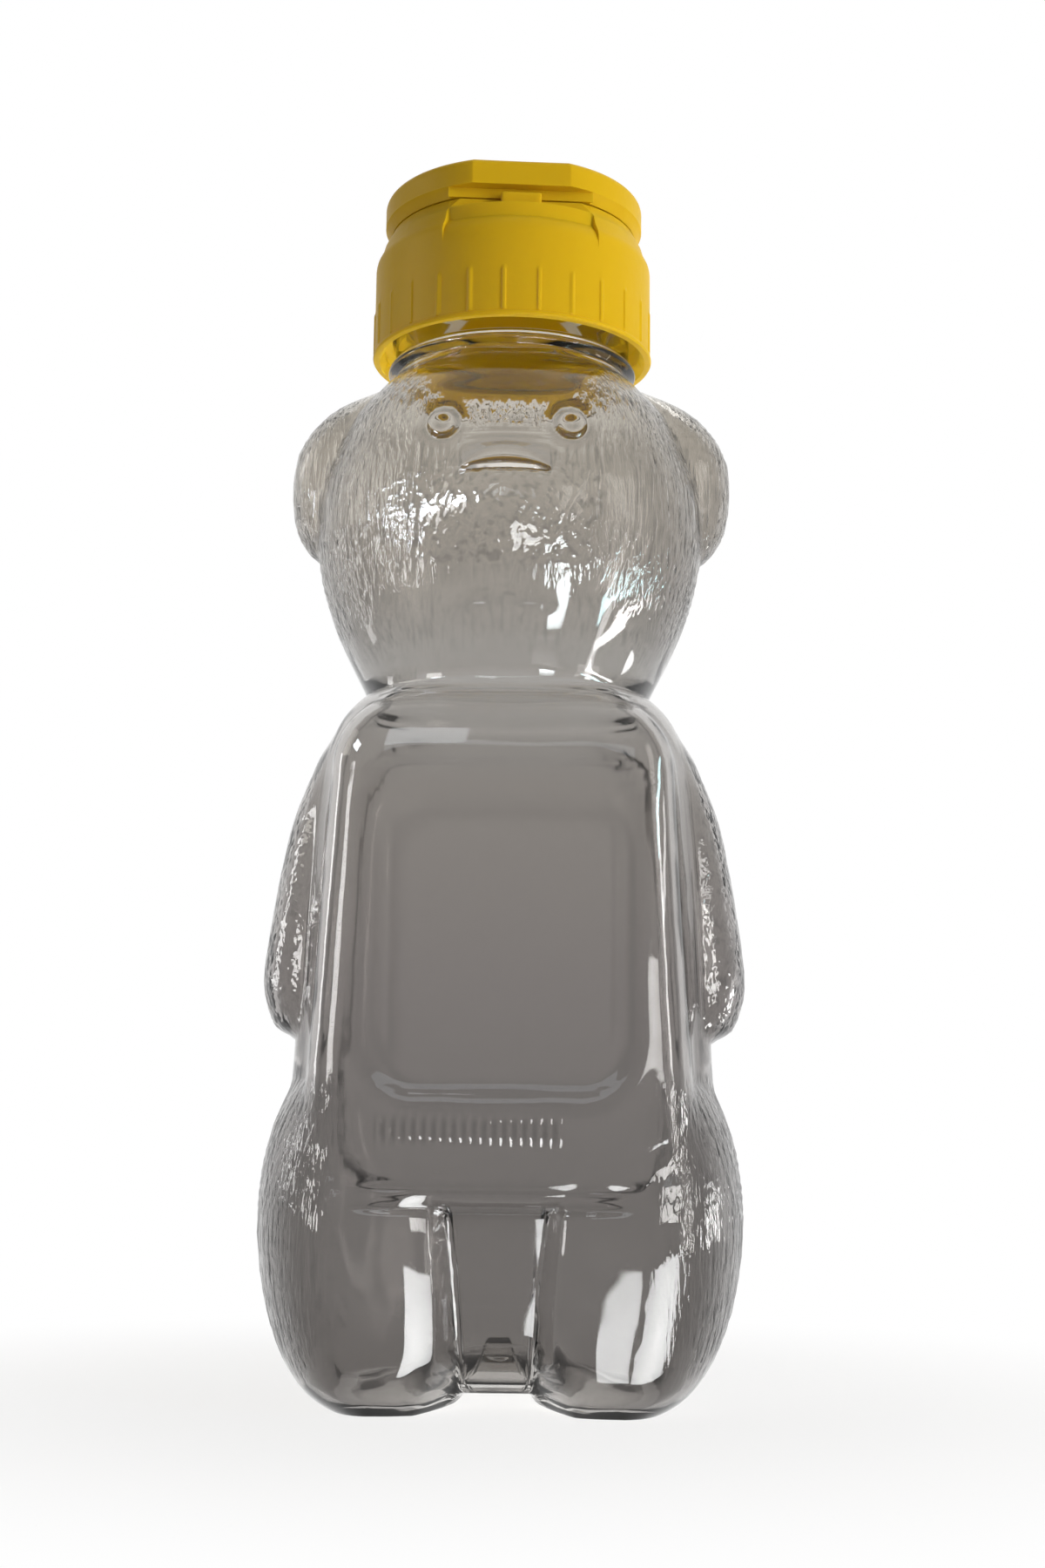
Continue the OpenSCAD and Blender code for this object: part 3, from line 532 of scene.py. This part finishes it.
# Shader maths on a socket: numbers and sockets go in, a new socket comes out
class Wire:
    def __init__(self, tree, socket=None):
        self.tree = tree
        self.socket = socket

    # a wire is linked into an input, and a plain value is set on it
    def plug(self, target, value):
        if isinstance(value, Wire):
            self.tree.links.new(value.socket, target)
        else:
            target.default_value = value

    # a new node with its settings and inputs, as the wire from one of its outputs
    def node(self, kind, settings=None, sockets=None, out=0):
        made = self.tree.nodes.new(kind)
        for key, value in (settings or {}).items():
            if key == "stops":
                ramp = made.color_ramp
                while len(ramp.elements) < len(value):
                    ramp.elements.new(0.5)
                for element, (place, colour) in zip(ramp.elements, value):
                    element.position = place
                    element.color = colour
            else:
                setattr(made, key, value)
        for key, value in (sockets or {}).items():
            self.plug(made.inputs[key], value)
        return Wire(self.tree, made.outputs[out])

    def math(self, operation, *others):
        values = dict(enumerate((self,) + others))
        return self.node("ShaderNodeMath", {"operation": operation}, values)

    def __add__(self, other):
        return self.math("ADD", other)

    __radd__ = __add__

    def __mul__(self, other):
        return self.math("MULTIPLY", other)

    __rmul__ = __mul__

    def __sub__(self, other):
        return self.math("SUBTRACT", other)

    def __rsub__(self, other):
        return self.node("ShaderNodeMath", {"operation": "SUBTRACT"}, {0: other, 1: self})


# An empty node material and the wire that its nodes start from
def newMaterial(name):
    material = bpy.data.materials.new(name)
    material.use_nodes = True
    material.node_tree.nodes.clear()
    return material, Wire(material.node_tree)


# The output node that takes a material's shader
def finishMaterial(start, shader):
    made = start.tree.nodes.new("ShaderNodeOutputMaterial")
    start.tree.links.new(shader.socket, made.inputs["Surface"])


# Clear blown plastic: refracting walls with a grey tint, painted shade for the grey surroundings seen
# through them, deeper low down partly for the thicker wall and mostly as painted shade, with painted
# shade on the fur strokes, pebbles and where relief stands steeply
clearLook = {
    # painted shade by height: the grey stands in for the surroundings seen through the plastic, darker
    # low down
    "tint": [(0.0, (0.37, 0.355, 0.345, 1)), (0.16, (0.38, 0.365, 0.355, 1)),
             (0.36, (0.43, 0.41, 0.40, 1)), (0.55, (0.48, 0.46, 0.44, 1)),
             (0.64, (0.57, 0.56, 0.545, 1)), (0.72, (0.54, 0.515, 0.485, 1)),
             (0.88, (0.62, 0.59, 0.54, 1)), (0.93, (0.93, 0.92, 0.88, 1))],
    "ior": 1.47, "roughness": 0.05, "passed": (0.93, 0.92, 0.9, 1), "tall": 0.16,
    # the pale colour at the end of the next line paints light on the push-up, crease, feet and neck
    "sheen": (0.5, 0.49, 0.48, 1), "thin": (0.86, 0.85, 0.83, 1),
    "broad": 0.4, "hair": 0.3, "pebble": 0.13,
    # how deep the painted shade goes on the fur strokes, the pebbles and steep relief
    "hairShade": 0.42, "pebbleShade": 0.42, "steepShade": 0.45,
}


def clearPlastic():
    material, start = newMaterial("clearPlastic")
    place = start.node("ShaderNodeTexCoord", out="Object")

    def noise(vector, scale, rough):
        sockets = {"Vector": vector, "Scale": scale, "Detail": rough}
        return start.node("ShaderNodeTexNoise", None, sockets)

    def attribute(name):
        return start.node("ShaderNodeAttribute", {"attribute_name": name}, out="Fac")

    # the parts of a grain that take painted shade
    def lines(share, grain):
        return share * ((grain - 0.5) * 5).math("MAXIMUM", 0.0).math("MINIMUM", 1.0)

    # the tint by height, which paints shade: grey for the surroundings seen through, darker low down
    up = start.node("ShaderNodeSeparateXYZ", None, {"Vector": place}, "Z") * (1 / clearLook["tall"])
    tint = start.node("ShaderNodeValToRGB", {"stops": clearLook["tint"]}, {"Fac": up}, "Color")
    broad = noise(place, 60.0, 2.0)
    # fine fur: noise drawn out along the height; pebbles: even noise; each where its attribute says
    drawn = start.node("ShaderNodeVectorMath", {"operation": "MULTIPLY"}, {0: place, 1: (1, 1, 0.12)})
    hair, pebble = noise(drawn, 1500.0, 2.0), noise(place, 900.0, 1.0)
    furred, pebbled, steep = attribute("furred"), attribute("pebbled"), attribute("steep")
    texture = furred * hair * clearLook["hair"] + pebbled * pebble * clearLook["pebble"]
    bump = start.node("ShaderNodeBump", None, {
        "Strength": 1.0, "Distance": mm, "Height": broad * clearLook["broad"] + texture})
    # painted shade where relief stands steeply
    shade = 1 - steep * clearLook["steepShade"]
    # painted shade on the fur strokes and pebbles
    shade = shade * (1 - lines(furred, hair) * clearLook["hairShade"])
    shade = shade * (1 - lines(pebbled, pebble) * clearLook["pebbleShade"])
    tint = start.node("ShaderNodeVectorMath", {"operation": "SCALE"}, {0: tint, "Scale": shade})
    # painted light: paler on the push-up, crease, feet and neck, by the attribute that marks them
    tint = start.node("ShaderNodeMix", {"data_type": "RGBA"}, {
        "Factor": attribute("thin"), 6: tint, 7: clearLook["thin"]}, out=2)
    # the grey specular tint dims every reflection: painted shade for dim surroundings in the
    # reflections
    body = start.node("ShaderNodeBsdfPrincipled", None, {
        "Base Color": tint, "Roughness": clearLook["roughness"], "IOR": clearLook["ior"],
        "Specular Tint": clearLook["sheen"], "Transmission Weight": 1.0, "Normal": bump})
    through = start.node("ShaderNodeBsdfTransparent", None, {"Color": clearLook["passed"]})
    path = start.node("ShaderNodeLightPath", out="Is Shadow Ray")
    finishMaterial(start, start.node("ShaderNodeMixShader", None, {0: path, 1: body, 2: through}))
    return material


# Yellow moulded closure: satin, a little light passes its wall, with a faint grain
yellowLook = {
    "colour": (0.62, 0.385, 0.008, 1), "paler": (0.66, 0.42, 0.012, 1), "roughness": 0.45,
    "sheen": (1, 0.85, 0.5, 1), "scatter": (1.0, 0.85, 0.3),
}


def yellowPlastic():
    material, start = newMaterial("yellowPlastic")
    place = start.node("ShaderNodeTexCoord", out="Object")
    grain = start.node("ShaderNodeTexNoise", None, {"Vector": place, "Scale": 900.0, "Detail": 4.0})
    drift = start.node("ShaderNodeTexNoise", None, {"Vector": place, "Scale": 60.0, "Detail": 2.0})
    colour = start.node("ShaderNodeMix", {"data_type": "RGBA"}, {
        "Factor": drift, 6: yellowLook["colour"], 7: yellowLook["paler"]}, out=2)
    bump = start.node("ShaderNodeBump", None, {"Strength": 0.2, "Distance": 0.0002, "Height": grain})
    finishMaterial(start, start.node("ShaderNodeBsdfPrincipled", None, {
        "Base Color": colour, "Roughness": yellowLook["roughness"] + (grain - 0.5) * 0.1,
        "Subsurface Weight": 0.3, "Subsurface Radius": yellowLook["scatter"],
        "Subsurface Scale": 0.002, "Specular IOR Level": 0.1,
        "Specular Tint": yellowLook["sheen"], "IOR": 1.49, "Normal": bump}))
    return material


# White foamed plastic: matt, with a fine grain
def foamWhite():
    material, start = newMaterial("foamWhite")
    place = start.node("ShaderNodeTexCoord", out="Object")
    grain = start.node("ShaderNodeTexNoise", None, {"Vector": place, "Scale": 1500.0, "Detail": 4.0})
    bump = start.node("ShaderNodeBump", None, {"Strength": 0.4, "Distance": 0.0002, "Height": grain})
    finishMaterial(start, start.node("ShaderNodeBsdfPrincipled", None, {
        "Base Color": (0.78, 0.77, 0.7, 1), "Roughness": 0.75 + (grain - 0.5) * 0.2,
        "Normal": bump}))
    return material


clear = clearPlastic()
yellow = yellowPlastic()
foam = foamWhite()


# The closure's base and its lid, in millimetres; recessAt is in degrees to each side of the front
cap = {
    "capR": 20.55, "rimZ": 149.5, "deckZ": 168.4, "skirtR": 19.05, "shoulderZ": 164.2, "grooveR": 18.3,
    "ribs": 26, "ribW": 0.55, "ribOut": 0.2, "ribH": 6.2, "plateT": 1.4, "holeR": 3.1, "spoutH": 3.1,
    "recessAt": 33, "recessReach": 16.1, "rampTop": 167.4, "rampRise": 0.8, "footIn": 1.15,
    "wallIn": 1.9, "throatR": 15.9, "linerT": 1, "linerInR": 16, "linerOutR": 17.5, "yaw": 5,
    "around": 720, "outsideRows": 42, "skirtRows": 45, "sharpAt": 32,
}
lid = {
    "lidR": 19.25, "lowZ": 168.65, "topZ": 174, "visorH": 3.9, "visorReach": 17.9, "wall": 1.3,
    "edge": 1.2, "recessIn": 1.5, "plugR": 2.8, "plugZ": 170.2,
}
# The blocks at the hinge and the thumb tab as boxes from low to high
hinge = {"halfW": 7, "lineZ": cap["deckZ"] + 0.125, "gap": 0.4, "farY": 20.1, "power": 14}
boxes = [
    ("base_hinge_block", (-hinge["halfW"], 16.5, 164.6),
     (hinge["halfW"], hinge["farY"], hinge["lineZ"] - hinge["gap"]), "closure", "closure_base"),
    ("lid_hinge_block", (-hinge["halfW"], 17.2, hinge["lineZ"] + hinge["gap"]),
     (hinge["halfW"], hinge["farY"], 172.3), "lid", "flip_lid"),
    ("thumb_tab", (-2.9, -17.7, 166.95), (2.9, -15.6, 169.1), "lid", "flip_lid"),
]
yaw = math.radians(cap["yaw"])
capAngle = np.arange(cap["around"]) / cap["around"] * 2 * math.pi
# doubled columns at the two sides of the thumb recess
for target in (270 - cap["recessAt"], 270 + cap["recessAt"]):
    near = int(round(target / 360 * cap["around"]))
    capAngle[near - 1:near + 1] = np.radians([target - 0.04, target + 0.04])
inRecess = np.abs(capAngle - 1.5 * math.pi) < math.radians(cap["recessAt"])
recessR = cap["recessReach"] / np.where(inRecess, -np.sin(capAngle), 1)


# Rows along a profile of corners (r, z, steps to the next one); r and z may vary round the axis
def loftRows(corners):
    rows = []
    for (r0, z0, count), (r1, z1, _) in zip(corners[:-1], corners[1:]):
        rows += [(mix(r0, r1, k / count), mix(z0, z1, k / count)) for k in range(count)]
    rows.append(corners[-1][:2])
    return np.array([r + 0 * capAngle for r, z in rows]), np.array([z + 0 * capAngle for r, z in rows])


# Sharp where faces meet at a wide enough angle, smooth elsewhere
def crisp(piece):
    piece.data.set_sharp_from_angle(angle=math.radians(cap["sharpAt"]))
    return piece


# The closure's base as one skin: outside up the skirt, over the deck and spout, and down inside
def buildBase():
    capR, deckZ, rimZ, groove = cap["capR"], cap["deckZ"], cap["rimZ"], cap["grooveR"]
    rampAt = cap["rampTop"] - cap["rampRise"] * (recessR - cap["recessReach"])
    slope = (deckZ - cap["shoulderZ"]) / (capR - groove)
    # shoulder: a cone from the skirt to the groove; in the recess the ramp, then a flat wall up to it
    coneZ = deckZ - slope * np.maximum(recessR - groove, 0)
    shoulder = []
    for rampIn, rampZ, coneIn, conePlace in (
            (0, 161.2, 0, 163.0), (0.1, 162.3, 0.04, 163.4), (0.32, 163.15, 0.14, 163.85),
            (0.72, 163.95, 0.35, 164.3), (1.32, 164.72, 0.8, 165.14)):
        r = np.where(inRecess, capR - rampIn, capR - coneIn)
        shoulder.append((r, np.where(inRecess, rampZ, conePlace), 1))
    coneFoot, coneWall = capR - cap["footIn"], capR - cap["wallIn"]
    footR = np.where(inRecess, recessR, coneFoot)
    footZ = np.where(inRecess, rampAt, deckZ - slope * (coneFoot - groove))
    wallR = np.where(inRecess, recessR - 0.01, coneWall)
    wallZ = np.where(inRecess, coneZ, deckZ - slope * (coneWall - groove))
    lipR = np.where(inRecess, np.minimum(recessR, groove) - 0.02, groove)
    sealTop, plateZ, skirtR = landZ + cap["linerT"], deckZ - cap["plateT"], cap["skirtR"]
    hole, spout, ribTop = cap["holeR"], deckZ + cap["spoutH"], rimZ + 1 + cap["ribH"]
    linerOut = cap["linerOutR"]
    corners = [
        (skirtR, rimZ + 1.2, 2), (capR - 0.75, rimZ, 2), (capR + 0.05, rimZ + 0.05, 1),
        (capR + 0.22, rimZ + 0.3, 1), (capR + 0.15, rimZ + 0.65, 1), (capR, rimZ + 0.8, 1),
        (capR, rimZ + 1, 22), (capR, ribTop, 1), (capR, rimZ + 1.4 + cap["ribH"], 5),
        *shoulder, (footR, footZ, 4), (wallR, wallZ, 3), (lipR, deckZ, 1),
        (lipR - 0.3, deckZ, 6), (hole + 3, deckZ, 3), (hole + 1.5, spout - 0.5, 2),
        (hole + 1, spout, 1), (hole + 0.3, spout, 1), (hole, spout - 0.3, 4), (hole, plateZ, 6),
        (cap["throatR"], plateZ, 4), (cap["linerInR"], sealTop, 2), (linerOut, sealTop, 4),
        (linerOut, plateZ, 2),
        (skirtR, plateZ, 44), (skirtR, rimZ + 1.2, 1)]
    r, z = loftRows(corners)
    r, z = r[:-1], z[:-1]
    a = capAngle[None, :]
    row = np.arange(len(r))[:, None]
    # ribs: narrow raised bars, fading out at the top of their height
    spacing = 2 * math.pi / cap["ribs"]
    phase = np.abs((a / spacing + 0.5) % 1 - 0.5) * spacing * capR
    rib = cap["ribOut"] * eased((cap["ribW"] / 2 - phase) / 0.2 + 0.5)
    outside = (row < cap["outsideRows"]) & (z > rimZ + 0.9)
    r = r + rib * outside * eased((rimZ + 1.2 + cap["ribH"] - z) / 0.6)
    # internal thread: the ridge stands in from the skirt
    skirt = (row >= len(r) - cap["skirtRows"]) & (z < landZ - 0.3)
    lowZ = landZ - bear["threadTop"] - bear["pitch"] * (bear["threadTurns"] + 0.5)
    r = r - skirt * threadRise(z, a + yaw, lowZ, bear["threadH"] - 0.05)
    return crisp(gridMesh("closure_shell", ringOf(r, z, a + yaw), loop=True))


# The lid as one skin: from under its plate over plug, rim, visor and side to the top
def buildLid():
    lidR, lowZ, topZ, groove = lid["lidR"], lid["lowZ"], lid["topZ"], cap["grooveR"]
    edge, innerR, plateZ = lid["edge"], lidR - lid["wall"], topZ - lid["wall"]
    recessTop, behind = topZ - lid["visorH"], recessR - lid["recessIn"]
    facing = np.maximum(-np.sin(capAngle), 0.2)
    sideR = np.where(np.sin(capAngle) < 0, np.minimum(lidR, lid["visorReach"] / facing), lidR)
    wallR = np.where(inRecess, recessR, groove)
    underR = np.where(inRecess, recessR, sideR - 0.02)
    # under its plate stands the ring that plugs the pouring hole
    plugR, plugZ = lid["plugR"], lid["plugZ"]
    corners = [
        (0.4, plateZ, 2), (plugR - 1, plateZ, 3), (plugR - 1, plugZ, 2), (plugR - 0.2, plugZ, 1),
        (plugR, plugZ + 0.2, 3), (plugR, plateZ, 3), (innerR - 2.6, plateZ, 1),
        (innerR - 2, plateZ - 0.6, 1), (np.where(inRecess, behind, innerR), lowZ + 1.2, 1),
        (np.where(inRecess, behind, groove - 0.9), lowZ, 2), (wallR, lowZ, 3),
        (np.where(inRecess, recessR, lidR - 0.3), lowZ + 1.1, 2), (underR, recessTop - 0.01, 2),
        (sideR, recessTop + 0.01, 6), (sideR, topZ - edge, 1)]
    for q in np.radians(np.linspace(10, 90, 8)):
        corners.append((sideR - edge * (1 - math.cos(q)), topZ - edge * (1 - math.sin(q)), 1))
    corners[-1] = corners[-1][:2] + (8,)
    corners.append((0.4, topZ, 1))
    r, z = loftRows(corners)
    rings = ringOf(r, z, capAngle[None, :] + yaw)
    return crisp(gridMesh("lid_shell", rings, ([0, 0, plateZ], [0, 0, topZ])))


# A block with rounded edges: a squared ball stretched to the box, turned by the closure's yaw
def block(name, low, high, power, count=40):
    u = np.linspace(-math.pi / 2, math.pi / 2, count)[1:-1, None]
    v = np.linspace(0, 2 * math.pi, count * 2, endpoint=False)[None, :]
    x, y, z = np.cos(u) * np.cos(v), np.cos(u) * np.sin(v), np.sin(u) + 0 * v
    size = (np.abs(x) ** power + np.abs(y) ** power + np.abs(z) ** power) ** (1 / power)
    unit = np.stack([x / size, y / size, z / size], -1)
    low, high = np.array(low, float), np.array(high, float)
    middle = (low + high) / 2
    points = middle + unit * (high - low) / 2
    tips = [[middle[0], middle[1], low[2]], [middle[0], middle[1], high[2]]]
    turn = np.array([[math.cos(yaw), math.sin(yaw), 0], [-math.sin(yaw), math.cos(yaw), 0], [0, 0, 1]])
    return gridMesh(name, points @ turn, [tuple(np.array(q) @ turn) for q in tips])


# A piece with its material, the body it rides on, and the node and slot it stands for
def settle(piece, material, body, node):
    piece.data.materials.clear()
    piece.data.materials.append(material)
    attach(piece, body)
    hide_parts(node)


bottle = buildBottle()
settle(bottle, clear, "bottle", "bottle")
print("bottle skin", len(bottle.data.polygons), "faces")

base = buildBase()
settle(base, yellow, "closure", "closure_base")
lidShell = buildLid()
settle(lidShell, yellow, "lid", "flip_lid")
for name, low, high, body, node in boxes:
    settle(block(name, low, high, hinge["power"]), yellow, body, node)
print("closure", len(base.data.polygons), "and lid", len(lidShell.data.polygons), "faces")

for name in ("seal_ring", "hinge_film"):
    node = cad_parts[name]
    node.data.materials.clear()
    node.data.materials.append(foam if name == "seal_ring" else yellow)


# Floor, light and camera
stage = {
    "distance": 310, "height": 37, "azimuth": 1.6, "pitch": 9, "yaw": 0.42, "roll": 0.65,
    "lens": 49.66, "sensor": 36, "floor": 3, "floorGrey": (0.85, 0.85, 0.85, 1),
    "shadeNear": 0.03, "shadeFar": 0.14, "shadeDeep": 0.72, "soft": (1, 0.94, 0.86, 1), "level": 0.3,
}
white = (1, 1, 1, 1)


# 1 for the rays that show floor and world as plain white: camera, glossy and transmission rays
def cleanRays(start):
    kinds = ("Is Camera Ray", "Is Glossy Ray", "Is Transmission Ray")
    seen, glossy, passed = [start.node("ShaderNodeLightPath", out=kind) for kind in kinds]
    return (seen + glossy + passed).math("MINIMUM", 1.0)


# A pale floor: plain white far off, and partly shaded near the bottle
def buildFloor():
    mesh, half = bpy.data.meshes.new("floor"), stage["floor"]
    corners = [(-half, -half, 0), (half, -half, 0), (half, half, 0), (-half, half, 0)]
    mesh.from_pydata(corners, [], [(0, 1, 2, 3)])
    floor = bpy.data.objects.new("floor", mesh)
    bpy.context.scene.collection.objects.link(floor)
    material, start = newMaterial("floorPale")
    matt = start.node("ShaderNodeBsdfDiffuse", None, {"Color": stage["floorGrey"]})
    plain = start.node("ShaderNodeEmission", None, {"Color": white, "Strength": 1.0})
    place = start.node("ShaderNodeTexCoord", out="Object")
    away = start.node("ShaderNodeVectorMath", {"operation": "LENGTH"}, {0: place}, "Value")
    # white far off, and partly lit and shaded near the object
    fade = start.node("ShaderNodeMapRange", {"interpolation_type": "SMOOTHSTEP"}, {
        "Value": away, "From Min": stage["shadeNear"], "From Max": stage["shadeFar"],
        "To Min": stage["shadeDeep"], "To Max": 1.0})
    share = cleanRays(start) * fade
    finishMaterial(start, start.node("ShaderNodeMixShader", None, {0: share, 1: matt, 2: plain}))
    mesh.materials.append(material)
    floor.visible_glossy = False  # a glossy ray passes to the world, which is as white


# A world that gives a soft warm light and is seen as plain white
def buildWorld():
    world = bpy.data.worlds.new("studio")
    bpy.context.scene.world = world
    world.use_nodes = True
    world.node_tree.nodes.clear()
    start = Wire(world.node_tree)
    soft = start.node("ShaderNodeBackground", None, {
        "Color": stage["soft"], "Strength": stage["level"]})
    plain = start.node("ShaderNodeBackground", None, {"Color": white, "Strength": 1.0})
    share = cleanRays(start)
    shader = start.node("ShaderNodeMixShader", None, {0: share, 1: soft, 2: plain})
    output = world.node_tree.nodes.new("ShaderNodeOutputWorld")
    world.node_tree.links.new(shader.socket, output.inputs["Surface"])


# A rectangular lamp that the camera doesn't see, turned to aim and rolled about that direction
def areaLamp(name, place, aim, width, tall, level, colour=(1, 1, 1), roll=0):
    light = bpy.data.lights.new(name, "AREA")
    light.energy = level * 4 * width * tall
    light.color = colour
    light.shape = "RECTANGLE"
    light.size = width
    light.size_y = tall
    lamp = bpy.data.objects.new(name, light)
    bpy.context.scene.collection.objects.link(lamp)
    turn = (Vector(aim) - Vector(place)).to_track_quat("-Z", "Y").to_matrix().to_4x4()
    lamp.matrix_world = Matrix.Translation(place) @ turn @ Matrix.Rotation(math.radians(roll), 4, "Z")
    lamp.visible_camera = False
    return lamp


# A window that only shows as a highlight: seen from point in the direction side, up, in degrees
def window(name, point, side, up, reach, width, tall, level, colour=(1, 1, 1), roll=0, spread=36):
    a, e = math.radians(side), math.radians(up)
    point = Vector(point) * mm
    toward = Vector((math.cos(e) * math.sin(a), -math.cos(e) * math.cos(a), math.sin(e)))
    lamp = areaLamp(name, point + toward * reach, point, width, tall, level, colour, roll)
    # it fades out at spread degrees from its aim, where its level stays the same
    half = math.radians(spread)
    lamp.data.spread = 2 * half
    lamp.data.energy *= 1 - half / math.tan(half)
    lamp.visible_diffuse = False
    lamp.visible_transmission = False


# name, point in millimetres, side, up, reach, width and height in metres, level, colour, roll, spread
windows = [
    ("lowRight", (7.4, -21.9, 108), 26, -10, 0.06, 0.013, 0.022, 60, (0.85, 0.95, 1), 0, 13),
    ("slantWhite", (16.2, -17.6, 107), 75, -16, 0.08, 0.006, 0.05, 45, (1, 1, 1), -62),
    ("slantCyan", (16.2, -17.6, 107), 69, -7, 0.08, 0.006, 0.05, 60, (0.62, 0.93, 1), -62),
    ("left", (-12, -22, 121), -54, 10, 0.12, 0.024, 0.04, 80, (0.82, 0.9, 1), 61),
    ("slabLeft", (-22, -24, 62), -54, 8, 0.3, 0.08, 0.08, 20),
    ("slabRight", (23, -25, 55), 62, 3, 0.2, 0.02, 0.1, 24),
    ("feet", (20, -27, 12), 25, -18, 0.1, 0.104, 0.09, 36, (0.95, 0.98, 1), 0, 52),
    ("corner", (22, -25, 32), 24, 16, 0.1, 0.06, 0.02, 24),
    ("shoulder", (-13, -26, 88), -7, 30, 0.12, 0.03, 0.04, 8, (0.85, 0.93, 1)),
    ("band", (0, -26, 40), 5, 28, 0.3, 0.2, 0.05, 2.5, (0.8, 0.9, 1), 0, 80),
    ("neckLeft", (-12, -12, 146), -82, 20, 0.3, 0.16, 0.16, 5, (1, 0.97, 0.9)),
    ("armRight", (31.6, -7.7, 54.5), 103, -8, 0.15, 0.03, 0.04, 24),
    ("armLeft", (-31.2, -7.9, 62.3), -102, 11, 0.2, 0.03, 0.1, 10),
]


# Three soft lamps that light the bottle, and the windows that only show on it
def buildLamps():
    softRight = areaLamp("softRight", (0.44, -0.26, 0.2), (0, 0, 0.1), 0.16, 0.34, 9)
    softTop = areaLamp("softTop", (0.05, 0.1, 0.6), (0, 0, 0.1), 0.4, 0.4, 0.7)
    softBack = areaLamp("softBack", (0.06, 0.3, 0.03), (0, 0, 0.155), 0.3, 0.12, 6)
    for lamp in (softRight, softTop, softBack):
        lamp.visible_glossy = False
    softBack.visible_transmission = False
    for row in windows:
        window(*row)


# The photo's camera: out from the axis at its own height, then turned by pitch, yaw and roll
def buildCamera():
    data = bpy.data.cameras.new("photoCamera")
    data.lens = stage["lens"]
    data.sensor_width = stage["sensor"]
    camera = bpy.data.objects.new("photoCamera", data)
    bpy.context.scene.collection.objects.link(camera)
    side = math.radians(stage["azimuth"])
    reach = stage["distance"] * mm
    turn = (Matrix.Rotation(side - math.radians(stage["yaw"]), 4, "Z")
            @ Matrix.Rotation(math.radians(90 + stage["pitch"]), 4, "X")
            @ Matrix.Rotation(math.radians(stage["roll"]), 4, "Z"))
    place = Vector((reach * math.sin(side), -reach * math.cos(side), stage["height"] * mm))
    camera.matrix_world = Matrix.Translation(place) @ turn
    bpy.context.scene.camera = camera


buildFloor()
buildWorld()
buildLamps()
buildCamera()
print("studio with", len(windows), "windows")
bpy.context.scene.view_settings.view_transform = "Standard"
